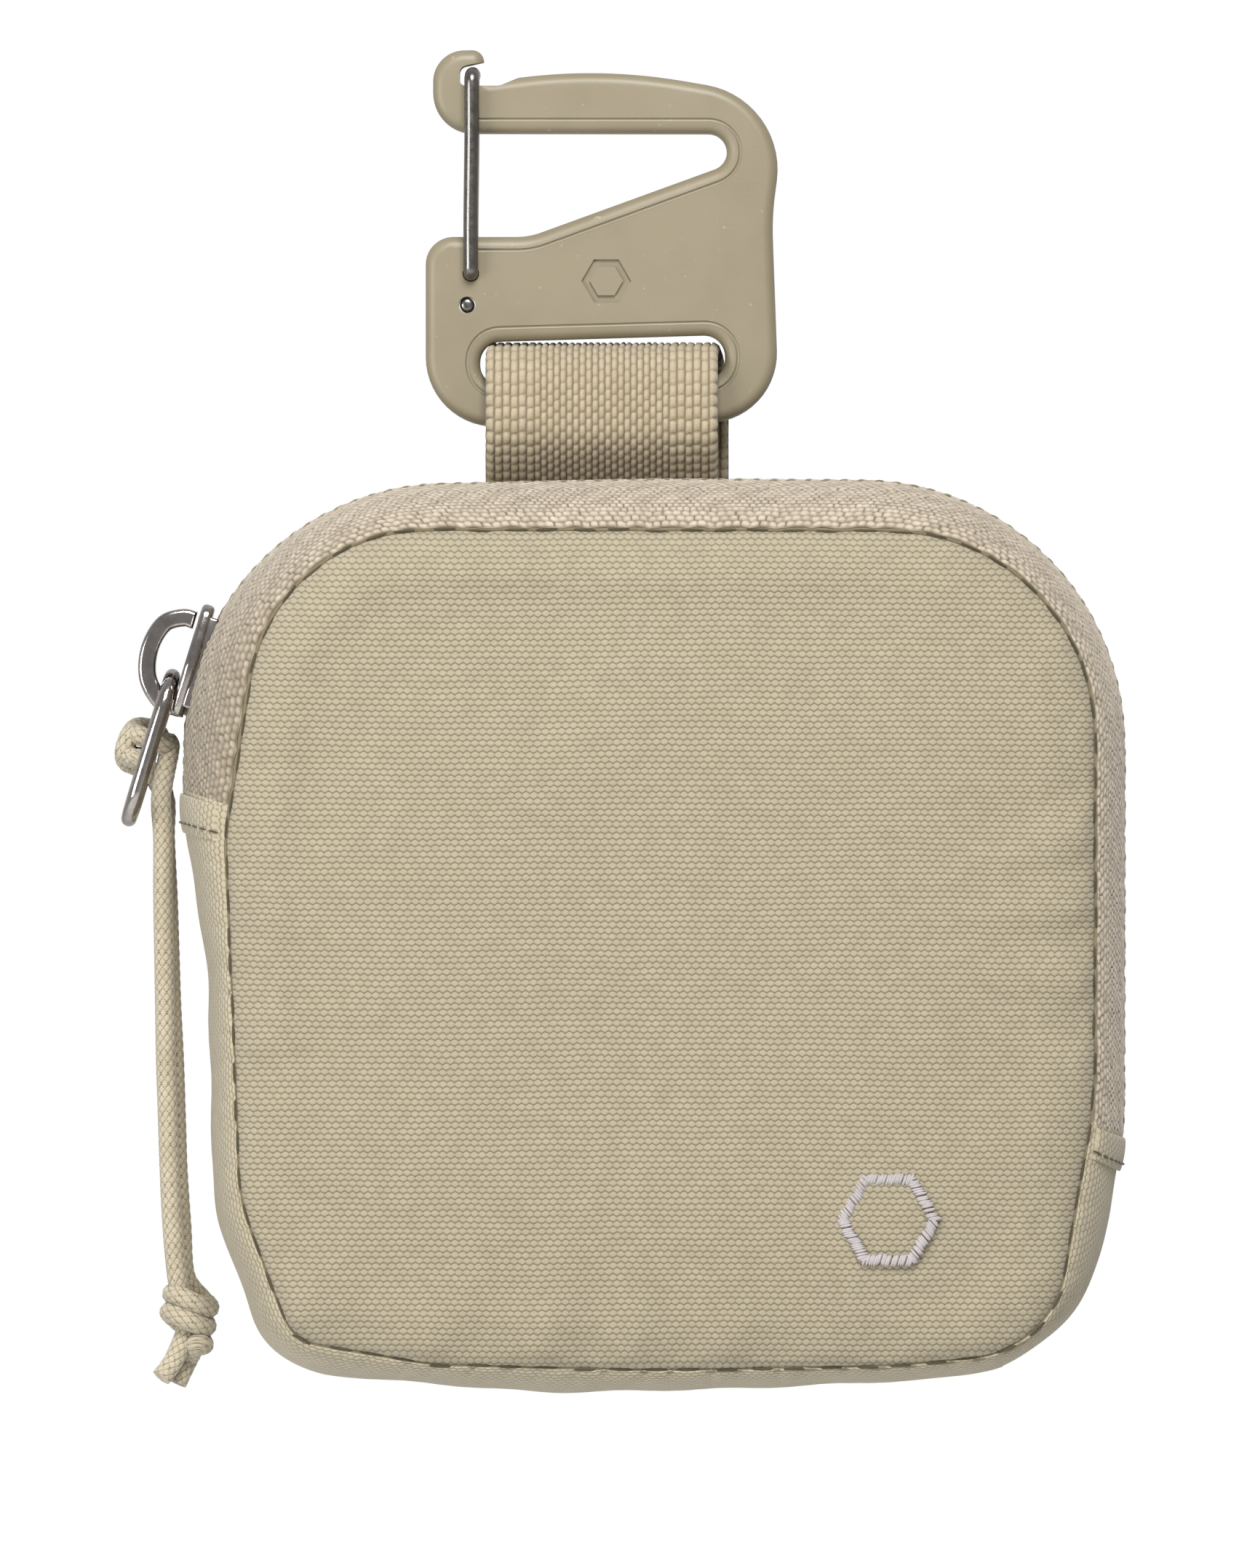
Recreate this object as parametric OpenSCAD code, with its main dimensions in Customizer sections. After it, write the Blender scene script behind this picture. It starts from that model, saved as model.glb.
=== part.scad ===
// Zip pouch wallet on a webbing loop, hanging from a wire-gate clip hook.
// Drawn as seen from the front: x to the right, z up, y away from the viewer.
// The origin is on the underside of the hook's arm, where the strap or cord that
// carries the hook bears, straight above the middle of the pouch.

/* [Pouch] */
// Half of the panel's width, seam to middle
half_w = 46.5; // [44:0.5:49]
// Height of the top seam above the pouch's lowest edge
seam_top = 94.2; // [92:0.2:97]
// Height of the bottom seam above the pouch's lowest edge
seam_bottom = 2.9; // [2.9:0.1:4]
// Corner radius of the panel at the top
top_r = 23; // [21:0.5:25]
// Corner radius of the panel at the bottom
bottom_r = 20; // [18:0.5:22]
// Depth from the front seam to the back seam
depth = 24; // [24:1:30]

/* [Layers] */
// Thickness of the outer fabric
fabric_t = 0.8; // [0.6:0.1:0.9]
// Thickness of the padding
foam_t = 2; // [1:0.2:2.4]
// Thickness of the lining
lining_t = 0.4; // [0.3:0.1:0.5]

/* [Zip] */
// How far the zip tape bulges out beyond the seam
tape_bulge = 4; // [3.6:0.1:4.2]
// How far the lower gusset bulges out beyond the seam
gusset_bulge = 2.9; // [2.4:0.1:2.9]
// Height of the zip's left end
zip_left_z = 62; // [60:0.5:64]
// Height of the zip's right end
zip_right_z = 26; // [25:0.5:28]
// Half of the channel between the two rows of the coil
coil_gap = 0.7; // [0.6:0.05:0.8]

/* [Webbing] */
// Width of the webbing
webbing_w = 25; // [24:0.5:25]
// Thickness of one ply of webbing
webbing_t = 1.7; // [1.4:0.1:1.8]

/* [Hook] */
// Thickness of the hook
hook_t = 5.5; // [5:0.1:5.6]
// Diameter of the gate's wire
wire_d = 1.6; // [1.4:0.1:1.6]
// Radial clearance of the gate's feet in their holes
foot_clearance = 0.08; // [0.05:0.01:0.1]

/* [Pull] */
// Diameter of the pull cord
cord_d = 2.2; // [2:0.1:2.3]
// Wire diameter of the pull ring
ring_d = 1.7; // [1.5:0.1:1.8]
// Lean of the pull ring, its lower end away from the pouch
ring_lean = 17; // [15:1:20]

/* [Hidden] */
$fn = 64;

// Heights below are measured from the pouch's lowest edge; the origin is this far up.
hang_z = 136.5;
half_depth = depth / 2;
panel_front = half_depth + fabric_t;
foam_inset = 1.5;

// Zip
tape_t = 0.8;
coil_h = 1.4;
coil_w = 1.5;
tab_t = 0.8;
tab_h = 4.4;
corner_x = half_w - top_r;
corner_z = seam_top - top_r;

// Fold line of the front panel, between the two ends of the zip
fold_slope = (zip_right_z - zip_left_z) / (2 * half_w);
fold_gap = 0.2;

// Slider, measured on the zip's top left corner
slider_at = 17;
slider_span = 12.5;
plate_t = 1.2;
plate_half_w = 4.5;
plate_r = top_r + tape_bulge + 0.25;
inner_plate_r = top_r + tape_bulge - tape_t - 0.16 - coil_h - 0.5;
crown_half_w = 1.7;
ring_at = 12.4;
ring_r = 3.65;
ring_straight = 8.8;
ring_path_r = plate_r + plate_t + ring_d / 2 + 0.25;
ring_top = [-corner_x - ring_path_r * cos(ring_at), corner_z + ring_path_r * sin(ring_at)];
hitch_along = 8.7;

// Hook
hook_y = 8;
webbing_x = -18.4;
slot_z = [109.6, 114.4];
slot_x = [-19.1, 7.5];
loop_z = 108.4;
loop_r = 3.7;
pivot = [-20.1, 121.3];
foot_at = [-20.5, 117.9];
crossbar = [-20, 142.9];
leg_off = hook_t / 2 + 0.35 + wire_d / 2;
foot_depth = 2.2;
groove_d = 0.3;
// The hook's edge, anticlockwise from the bottom left
hook_corners = [
    [-25, 104.1, 7], [13.3, 105.2, 7], [12.5, 127, 12], [14, 137.2, 4],
    [8.6, 141.6, 8], [-6, 143.2, 24], [-15.4, 142.5, 1], [-16.4, 141.7, 0.6],
    [-21.1, 141.7, 0.3], [-21.1, 143.95, 0.3], [-19.1, 143.95, 0.3], [-19.1, 145.5, 0.8],
    [-24.2, 145.5, 3.4], [-24.2, 136.5, 4], [17.5, 136.5, 2.1], [-15.4, 125.3, 8],
    [-25, 125.3, 3]
];
mouth_corners = [[-30, 125.3, 0], [-15.4, 125.3, 8], [17.5, 136.5, 2.1], [-30, 136.5, 0]];
slot_corners = [
    [slot_x[0], slot_z[0], 2.3], [slot_x[1], slot_z[0], 2.3],
    [slot_x[1], slot_z[1], 2.3], [slot_x[0], slot_z[1], 2.3]
];

// Card pocket
pocket_w = 76;
pocket_bottom = 12;
pocket_top = 62;
pocket_y = 6.4;

// Pull cord: routes of its two strands from the hitch to the knot, [x, y, height]
route_a = [
    [-54.4, 1.4, 65.2], [-54.3, 1.6, 60], [-54, 1.8, 54], [-53.6, 1.9, 48], [-53.3, 2, 42],
    [-53.1, 2, 36], [-52.9, 2, 30], [-52.7, 2, 24], [-52.4, 2.1, 18], [-51.9, 2.3, 12.6]
];
route_b = [
    [-54.2, 5.8, 65.2], [-54.1, 5.2, 60], [-53.6, 4.8, 54], [-53.1, 4.7, 48], [-52.7, 4.6, 42],
    [-52.3, 4.5, 36], [-52.1, 4.5, 30], [-51.9, 4.5, 24], [-51.5, 4.6, 18], [-51.1, 4.9, 12.6]
];
tail_routes = [
    [[-52, 2.4, 3.1], [-52.6, 2.1, 2], [-53.4, 1.7, 1]],
    [[-50.6, 4.8, 3], [-51.2, 4.6, 1.8], [-51.8, 4.4, 0.6]]
];
knot_at = [-50.7, 3.6, 8.2];
knot_h = 8.6;
knot_r = 3.3;

// ---------------------------------------------------------------- outlines

function unit(v) = v / norm(v);
function at(v, i) = v[(i + len(v)) % len(v)];
function xy(p) = [p[0], p[1]];
function edge_normal(a, b) = let (d = unit(b - a)) [d[1], -d[0]];

// Arc that rounds the corner q between p and s
function corner_arc(p, q, s, r, steps) =
    let (
        u = unit(p - q),
        v = unit(s - q),
        half = acos(u * v) / 2,
        mid = q + unit(u + v) * r / sin(half),
        from = q + u * r / tan(half) - mid,
        to = q + v * r / tan(half) - mid,
        turn = atan2(cross(from, to), from * to),
        start = atan2(from[1], from[0])
    )
    [for (i = [0 : steps]) mid + r * [cos(start + turn * i / steps), sin(start + turn * i / steps)]];

// Closed outline of corners [x, z, radius]
function rounded(c, steps = 8) = [
    for (i = [0 : len(c) - 1])
        each (c[i][2] > 0
            ? corner_arc(xy(at(c, i - 1)), xy(c[i]), xy(at(c, i + 1)), c[i][2], steps)
            : [xy(c[i])])
];

// The same corners moved outwards by d, for an anticlockwise outline
function grown(c, d) = [
    for (i = [0 : len(c) - 1])
        let (
            p = xy(at(c, i - 1)),
            q = xy(c[i]),
            s = xy(at(c, i + 1)),
            a = edge_normal(p, q),
            b = edge_normal(q, s),
            turn = cross(q - p, s - q) > 0 ? 1 : -1,
            q2 = q + d * (a + b) / (1 + a * b)
        )
        [q2[0], q2[1], c[i][2] > 0 ? max(0.1, c[i][2] + d * turn) : 0]
];

// ---------------------------------------------------------------- placing

// From the drawing plane, x right, y up and z towards the viewer, to the part's own frame
module upright() {
    translate([0, 0, -hang_z]) rotate([90, 0, 0]) children();
}

// A flat layer from near to far, both counted back from the pouch's middle plane
module layer(near, far) {
    translate([0, 0, -max(near, far)]) linear_extrude(abs(far - near)) children();
}

// The panel's outline, inset from the seam
module panel_shape(inset = 0) {
    for (side = [-1, 1]) {
        translate([side * corner_x, corner_z]) circle(top_r - inset);
        translate([side * (half_w - bottom_r), seam_bottom + bottom_r]) circle(bottom_r - inset);
    }
    translate([-half_w + inset, seam_bottom + bottom_r])
        square([2 * (half_w - inset), corner_z - seam_bottom - bottom_r]);
    translate([-corner_x, corner_z - 1]) square([2 * corner_x, top_r - inset + 1]);
    translate([-half_w + bottom_r, seam_bottom + inset])
        square([2 * (half_w - bottom_r), bottom_r - inset + 1]);
}

// Everything above the fold line, or below it
module fold_side(above = true) {
    reach = 70;
    far = above ? 120 : -120;
    near = above ? fold_gap : -fold_gap;
    mid = (zip_left_z + zip_right_z) / 2;
    translate([0, mid]) polygon([
        [-reach, near - reach * fold_slope], [reach, near + reach * fold_slope],
        [reach, far], [-reach, far]
    ]);
}

module flap_shape(inset) {
    intersection() {
        panel_shape(inset);
        fold_side(true);
    }
}

module lower_shape(inset) {
    intersection() {
        panel_shape(inset);
        fold_side(false);
    }
}

// ---------------------------------------------------------------- bands round the pouch

// Cross-section of a bulging band: out from the seam along x, towards the viewer along y
module band_profile(bulge, t, from, to) {
    r = (half_depth * half_depth + bulge * bulge) / (2 * bulge);
    intersection() {
        difference() {
            translate([bulge - r, 0]) circle(r, $fn = 256);
            translate([bulge - r, 0]) circle(r - t, $fn = 256);
        }
        translate([-3, from]) square([12, to - from]);
    }
}

module side_run(side, from, to) {
    mirror([side < 0 ? 1 : 0, 0, 0])
        translate([half_w, to, 0]) rotate([90, 0, 0]) linear_extrude(to - from) children();
}

module level_run(half_len) {
    translate([-half_len, 0, 0]) rotate([90, 0, 90]) linear_extrude(2 * half_len) children();
}

// Children are a profile, drawn out from the seam, that follows the seam over the top
module zip_path() {
    side_run(-1, zip_left_z + tab_h - 1.2, corner_z) children();
    side_run(1, zip_right_z + tab_h - 1.2, corner_z) children();
    translate([0, seam_top, 0]) level_run(corner_x) children();
    for (side = [0, 1])
        mirror([side, 0, 0]) translate([corner_x, corner_z, 0])
            rotate_extrude(angle = 90, $fn = 128) translate([top_r, 0]) children();
}

// The same under the bottom, from the left end of the zip to its right end
module gusset_path() {
    bottom_x = half_w - bottom_r;
    side_run(-1, seam_bottom + bottom_r, zip_left_z) children();
    side_run(1, seam_bottom + bottom_r, zip_right_z) children();
    mirror([0, 1, 0]) translate([0, -seam_bottom, 0]) level_run(bottom_x) children();
    for (side = [0, 1])
        mirror([side, 0, 0]) translate([bottom_x, seam_bottom + bottom_r, 0]) mirror([0, 1, 0])
            rotate_extrude(angle = 90, $fn = 128) translate([bottom_r, 0]) children();
}

// ---------------------------------------------------------------- hook and gate

module hook_body() {
    color([0.68, 0.64, 0.53]) translate([0, hook_y, 0]) upright()
        difference() {
            translate([0, 0, -hook_t / 2]) linear_extrude(hook_t) difference() {
                polygon(rounded(hook_corners));
                polygon(rounded(slot_corners));
            }
            // Wire holes: a blind one from each face, and one right through
            for (face = [-1, 1])
                translate([pivot[0], pivot[1], face * hook_t / 2])
                    cylinder(h = 2 * foot_depth + 0.4, r = wire_d / 2 + foot_clearance, center = true);
            translate([foot_at[0], foot_at[1], 0])
                cylinder(h = hook_t + 1, r = wire_d / 2 + foot_clearance, center = true);
            // Groove round the mouth and round the slot, in both faces
            for (face = [-1, 1])
                translate([0, 0, face * hook_t / 2 - groove_d]) linear_extrude(2 * groove_d) {
                    intersection() {
                        difference() {
                            polygon(rounded(grown(mouth_corners, 1.75)));
                            polygon(rounded(grown(mouth_corners, 1.4)));
                        }
                        translate([-19.4, 120]) square([32, 20]);
                    }
                    difference() {
                        polygon(rounded(grown(slot_corners, 1.65)));
                        polygon(rounded(grown(slot_corners, 1.3)));
                    }
                }
            // A plain six-sided badge, sunk in the front face
            translate([-5.4, 120.4, hook_t / 2 - groove_d]) difference() {
                cylinder(h = 1, r = 2.6, $fn = 6);
                translate([0, 0, -1]) cylinder(h = 3, r = 1.8, $fn = 6);
            }
        }
}

module gate_foot() {
    color([0.62, 0.6, 0.57]) translate([0, hook_y, 0]) upright()
        translate([foot_at[0], foot_at[1], 0])
            cylinder(h = hook_t, r = wire_d / 2, center = true);
}

module gate_wire() {
    leg_h = crossbar[1] - pivot[1];
    lean = atan((crossbar[0] - pivot[0]) / leg_h);
    color([0.62, 0.6, 0.57]) translate([0, hook_y, 0]) upright()
        translate([pivot[0], pivot[1], 0]) rotate([0, 0, -lean]) {
            for (face = [-1, 1]) {
                translate([0, 0, face * leg_off]) {
                    rotate([-90, 0, 0]) cylinder(h = leg_h, r = wire_d / 2);
                    sphere(wire_d / 2);
                    translate([0, leg_h, 0]) sphere(wire_d / 2);
                    mirror([0, 0, face > 0 ? 1 : 0])
                        cylinder(h = leg_off - hook_t / 2 + foot_depth - 0.1, r = wire_d / 2);
                }
            }
            translate([0, leg_h, 0]) cylinder(h = 2 * leg_off, r = wire_d / 2, center = true);
        }
}

// ---------------------------------------------------------------- webbing

// Side view of the loop, x away from the viewer and y up
module webbing_profile() {
    inner = loop_r;
    outer = loop_r + webbing_t;
    knee = 103.6;
    tail = 82;
    lay = panel_front;
    difference() {
        union() {
            translate([hook_y, loop_z]) intersection() {
                circle(outer);
                translate([-20, 0]) square([40, 20]);
            }
            // Front ply: down past the bar, then back to the panel and down it
            polygon([
                [hook_y - outer, loop_z], [hook_y - outer, knee], [lay, 94.6], [lay, tail],
                [lay + webbing_t, tail], [lay + webbing_t, 95.2], [hook_y - inner, knee + 0.6],
                [hook_y - inner, loop_z]
            ]);
            // Back ply
            polygon([
                [hook_y + inner, loop_z], [hook_y + inner, 101], [lay + webbing_t + 0.02, 96.4],
                [lay + webbing_t + 0.02, tail], [lay + 2 * webbing_t + 0.02, tail],
                [lay + 2 * webbing_t + 0.02, 97], [hook_y + outer, 101.5], [hook_y + outer, loop_z]
            ]);
        }
        translate([hook_y, loop_z]) circle(inner);
    }
}

module webbing_loop() {
    color([0.71, 0.66, 0.57]) translate([webbing_x, 0, -hang_z])
        rotate([90, 0, 90]) linear_extrude(webbing_w) webbing_profile();
}

// Box stitch through both plies, on the back of the pouch
module webbing_stitching() {
    stitch_w = 18;
    stitch_h = 8;
    bar = 0.6;
    face = panel_front + 2 * webbing_t + 0.02;
    color([0.75, 0.7, 0.6]) translate([webbing_x + webbing_w / 2, 0, -hang_z])
        translate([0, face, 87.6]) rotate([90, 0, 0]) mirror([0, 0, 1]) linear_extrude(0.3) {
            difference() {
                square([stitch_w, stitch_h], center = true);
                square([stitch_w - 2 * bar, stitch_h - 2 * bar], center = true);
            }
            for (side = [-1, 1])
                rotate(side * atan((stitch_h - bar) / (stitch_w - bar)))
                    square([stitch_w, bar], center = true);
        }
}

// ---------------------------------------------------------------- panels

module back_panel() {
    color([0.66, 0.62, 0.52]) upright() layer(half_depth, panel_front) panel_shape();
}

module back_foam() {
    color([0.3, 0.3, 0.3]) upright()
        layer(half_depth - foam_t, half_depth) panel_shape(foam_inset);
}

module back_lining() {
    inner = half_depth - foam_t;
    color([0.5, 0.48, 0.42]) upright() layer(inner - lining_t, inner) panel_shape(foam_inset);
}

module binding_layer(side) {
    inner = half_depth - foam_t - lining_t;
    layer(side * inner, side * (inner - 0.7)) children();
}

module back_binding() {
    color([0.45, 0.43, 0.38]) upright() binding_layer(1) difference() {
        panel_shape(foam_inset);
        panel_shape(foam_inset + 3);
    }
}

// Slip pocket for cards, against the back lining
module card_pocket() {
    color([0.5, 0.48, 0.42]) upright() layer(pocket_y, pocket_y + 0.6)
        translate([-pocket_w / 2, pocket_bottom]) square([pocket_w, pocket_top - pocket_bottom]);
}

module pocket_hem() {
    hem_h = 5;
    color([0.45, 0.43, 0.38]) upright() layer(pocket_y - 0.5, pocket_y)
        translate([-pocket_w / 2, pocket_top - hem_h]) square([pocket_w, hem_h]);
}

module lower_panel() {
    color([0.66, 0.62, 0.52]) upright() layer(-half_depth, -panel_front) lower_shape(0);
}

module lower_foam() {
    color([0.3, 0.3, 0.3]) upright()
        layer(-half_depth, -half_depth + foam_t) lower_shape(foam_inset);
}

module lower_lining() {
    inner = half_depth - foam_t;
    color([0.5, 0.48, 0.42]) upright() layer(-inner, lining_t - inner) lower_shape(foam_inset);
}

module lower_binding() {
    color([0.45, 0.43, 0.38]) upright() binding_layer(-1) difference() {
        lower_shape(foam_inset);
        panel_shape(foam_inset + 3);
    }
}

module flap_panel() {
    color([0.66, 0.62, 0.52]) upright() layer(-half_depth, -panel_front) flap_shape(0);
}

module flap_foam() {
    color([0.3, 0.3, 0.3]) upright()
        layer(-half_depth, -half_depth + foam_t) flap_shape(foam_inset);
}

module flap_lining() {
    inner = half_depth - foam_t;
    color([0.5, 0.48, 0.42]) upright() layer(-inner, lining_t - inner) flap_shape(foam_inset);
}

module flap_binding() {
    color([0.45, 0.43, 0.38]) upright() binding_layer(-1) difference() {
        flap_shape(foam_inset);
        panel_shape(foam_inset + 3);
    }
}

module lower_gusset() {
    color([0.6, 0.57, 0.47]) upright() gusset_path()
        band_profile(gusset_bulge, fabric_t, -half_depth, half_depth);
}

module gusset_lining() {
    color([0.5, 0.48, 0.42]) upright() gusset_path()
        translate([-fabric_t - 0.05, 0])
            band_profile(gusset_bulge, lining_t, -half_depth + 3.2, half_depth - 3.2);
}

// A plain six-sided badge in satin stitch, low on the right
module embroidered_mark() {
    color([0.77, 0.74, 0.75]) upright() layer(-panel_front, -panel_front - 0.4)
        translate([25, 19]) difference() {
            circle(5.6, $fn = 6);
            circle(4.4, $fn = 6);
        }
}

// ---------------------------------------------------------------- zip

module zip_tape_front() {
    color([0.74, 0.69, 0.63]) upright() zip_path()
        band_profile(tape_bulge, tape_t, coil_gap, half_depth);
}

module zip_tape_back() {
    color([0.74, 0.69, 0.63]) upright() zip_path()
        band_profile(tape_bulge, tape_t, -half_depth, -coil_gap);
}

module coil_profile(side) {
    translate([tape_bulge - tape_t - 0.16 - coil_h, side > 0 ? coil_gap : -coil_gap - coil_w])
        square([coil_h, coil_w]);
}

module zip_coil_front() {
    color([0.62, 0.57, 0.5]) upright() zip_path() coil_profile(1);
}

module zip_coil_back() {
    color([0.62, 0.57, 0.5]) upright() zip_path() coil_profile(-1);
}

// One metal stop at each end of the coil
module zip_stops() {
    stop_h = 2;
    reach = tape_bulge - tape_t - 0.16 - coil_h;
    color([0.5, 0.48, 0.46]) upright()
        for (end = [[-1, zip_left_z], [1, zip_right_z]])
            side_run(end[0], end[1] + 0.2, end[1] + 0.2 + stop_h)
                translate([reach, -2]) square([coil_h, 4]);
}

// Fabric tab folded over an end of the zip
module zip_tab(side, z) {
    color([0.66, 0.62, 0.52]) upright() side_run(side, z - 1.6, z + tab_h - 1.6)
        translate([tab_t + 0.1, 0])
            band_profile(tape_bulge, tab_t, -half_depth + 0.4, half_depth - 0.4);
}

module zip_tab_left() {
    zip_tab(-1, zip_left_z);
}

module zip_tab_right() {
    zip_tab(1, zip_right_z);
}

// ---------------------------------------------------------------- slider and pull

module at_corner() {
    upright() translate([-corner_x, corner_z, 0]) mirror([1, 0, 0]) children();
}

// Part of a ring about the zip's corner, between two angles above level
module sector(r_in, r_out, from, to, half_width) {
    rotate([0, 0, from]) rotate_extrude(angle = to - from, $fn = 128)
        translate([r_in, -half_width]) square([r_out - r_in, 2 * half_width]);
}

module slider_body() {
    low = slider_at - slider_span;
    high = slider_at + slider_span;
    color([0.42, 0.4, 0.38]) at_corner() {
        sector(plate_r, plate_r + plate_t, low, high, plate_half_w);
        sector(inner_plate_r - plate_t, inner_plate_r, low, high, 2.5);
        sector(inner_plate_r - 0.01, plate_r + 0.01, low, low + 4.5, coil_gap / 2);
    }
}

// Open loop on the outer plate that carries the ring: rooted low, open at the top
module slider_crown() {
    bend = 3.2;
    bar = 1.7;
    out = plate_r + plate_t;
    foot = 4.4;
    rise = 9.4;
    ring_off = ring_path_r - out;
    inner_bend = bend - bar;
    color([0.45, 0.43, 0.41]) at_corner() rotate([0, 0, slider_at]) translate([out, 0, -crown_half_w])
        linear_extrude(2 * crown_half_w) difference() {
            union() {
                translate([0.02, -foot - bend]) square([ring_off, rise + 2 * bend - 1]);
                translate([ring_off, -foot]) circle(bend, $fn = 48);
                translate([ring_off, rise - foot - 1]) circle(bend, $fn = 48);
                translate([ring_off, -foot]) square([bend, rise - 1]);
            }
            translate([-0.2, -foot]) square([ring_off + inner_bend + 0.2, rise - 1]);
            translate([ring_off, -foot]) circle(inner_bend, $fn = 48);
            translate([ring_off, rise - foot - 1]) circle(inner_bend, $fn = 48);
            translate([-0.2, -foot - inner_bend]) square([ring_off + 0.2, rise - 1 + 2 * inner_bend]);
            translate([-0.2, rise - foot - 2]) square([0.9, 6]);
            translate([-6, -12]) square([6.02, 24]);
        }
}

// Places children at the ring's top, drawn down along -y, its plane across the view
module at_ring() {
    upright() translate([ring_top[0], ring_top[1], 0]) rotate([0, 0, -ring_lean]) children();
}

module pull_ring() {
    color([0.45, 0.43, 0.41]) at_ring() rotate([0, 90, 0]) {
        for (side = [-1, 1]) translate([side * ring_r, -ring_r, 0])
            rotate([90, 0, 0]) cylinder(h = ring_straight, r = ring_d / 2);
        translate([0, -ring_r, 0]) rotate_extrude(angle = 180)
            translate([ring_r, 0]) circle(ring_d / 2);
        translate([0, -ring_r - ring_straight, 0]) mirror([0, 1, 0]) rotate_extrude(angle = 180)
            translate([ring_r, 0]) circle(ring_d / 2);
    }
}

// Hitch of the cord on the ring's far bar
module cord_hitch() {
    hitch_h = 6.4;
    hitch_r = ring_d / 2 + 0.3 + cord_d;
    color([0.68, 0.64, 0.55]) at_ring() translate([0, -hitch_along + hitch_h / 2, -ring_r])
        rotate([90, 0, 0]) rotate_extrude()
            difference() {
                union() {
                    translate([0, cord_d / 2]) square([hitch_r, hitch_h - cord_d]);
                    translate([0, 0]) square([hitch_r - cord_d / 2, hitch_h]);
                    translate([hitch_r - cord_d / 2, cord_d / 2]) circle(cord_d / 2);
                    translate([hitch_r - cord_d / 2, hitch_h - cord_d / 2]) circle(cord_d / 2);
                }
                translate([-1, -1]) square([1 + ring_d / 2 + 0.3, hitch_h + 2]);
            }
}

// A tube of eight sides along a route, mitred at each point
module tube(route, r) {
    n = len(route);
    sides = 8;
    ring = function (i)
        let (
            a = route[max(i - 1, 0)],
            b = route[min(i + 1, n - 1)],
            d = unit(b - a),
            u = unit(cross(d, [0, 1, 0])),
            v = cross(d, u)
        )
        [for (k = [0 : sides - 1])
            route[i] + r * (cos(k * 360 / sides) * u + sin(k * 360 / sides) * v)];
    points = [for (i = [0 : n - 1]) each ring(i)];
    walls = [
        for (i = [0 : n - 2], k = [0 : sides - 1])
            let (a = i * sides + k, b = i * sides + (k + 1) % sides)
            each [[a, b, b + sides], [a, b + sides, a + sides]]
    ];
    ends = [[for (k = [sides - 1 : -1 : 0]) k], [for (k = [0 : sides - 1]) (n - 1) * sides + k]];
    polyhedron(points, concat(walls, ends), convexity = 4);
}

module cord_strand_a() {
    color([0.68, 0.64, 0.55]) translate([0, 0, -hang_z]) tube(route_a, cord_d / 2);
}

module cord_strand_b() {
    color([0.68, 0.64, 0.55]) translate([0, 0, -hang_z]) tube(route_b, cord_d / 2);
}

module cord_knot() {
    color([0.68, 0.64, 0.55]) translate([knot_at[0], knot_at[1], knot_at[2] - hang_z - knot_h / 2])
        rotate_extrude() intersection() {
            union() {
                translate([0, 2]) square([knot_r, knot_h - 4]);
                square([knot_r - 2, knot_h]);
                translate([knot_r - 2, 2]) circle(2);
                translate([knot_r - 2, knot_h - 2]) circle(2);
            }
            square([knot_r, knot_h]);
        }
}

module cord_tails() {
    color([0.68, 0.64, 0.55]) translate([0, 0, -hang_z])
        for (route = tail_routes) tube(route, cord_d / 2);
}

hook_body();
gate_foot();
gate_wire();
webbing_loop();
webbing_stitching();
back_panel();
back_foam();
back_lining();
back_binding();
card_pocket();
pocket_hem();
lower_panel();
lower_foam();
lower_lining();
lower_binding();
lower_gusset();
gusset_lining();
embroidered_mark();
zip_tape_back();
zip_coil_back();
zip_stops();
zip_tab_left();
zip_tab_right();
flap_panel();
flap_foam();
flap_lining();
flap_binding();
zip_tape_front();
zip_coil_front();
slider_body();
slider_crown();
pull_ring();
cord_hitch();
cord_strand_a();
cord_strand_b();
cord_knot();
cord_tails();
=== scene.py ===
from math import acos, atan2, cos, hypot, pi, radians, sin, sqrt, tan

import bmesh
import bpy
import numpy as np
from mathutils import Matrix, Vector, geometry


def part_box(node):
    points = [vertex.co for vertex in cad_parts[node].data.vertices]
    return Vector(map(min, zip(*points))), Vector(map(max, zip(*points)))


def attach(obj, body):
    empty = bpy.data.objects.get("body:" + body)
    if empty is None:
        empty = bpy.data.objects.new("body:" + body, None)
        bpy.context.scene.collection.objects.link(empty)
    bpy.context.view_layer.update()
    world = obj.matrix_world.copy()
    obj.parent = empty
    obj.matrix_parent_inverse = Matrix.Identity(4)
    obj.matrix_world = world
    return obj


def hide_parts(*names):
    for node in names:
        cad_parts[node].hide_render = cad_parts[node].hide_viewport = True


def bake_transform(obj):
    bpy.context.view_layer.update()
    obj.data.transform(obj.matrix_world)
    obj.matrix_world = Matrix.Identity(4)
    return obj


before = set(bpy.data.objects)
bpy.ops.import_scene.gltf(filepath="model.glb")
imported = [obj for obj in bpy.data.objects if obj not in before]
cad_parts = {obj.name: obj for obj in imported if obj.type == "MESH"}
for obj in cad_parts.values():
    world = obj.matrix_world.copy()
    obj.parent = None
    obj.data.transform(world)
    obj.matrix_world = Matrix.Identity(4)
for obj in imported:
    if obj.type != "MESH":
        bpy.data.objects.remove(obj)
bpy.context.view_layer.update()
MM = 0.001
ACROSS = np.array([0, 1.0, 0])

# ---- sizes, in millimetres

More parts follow.
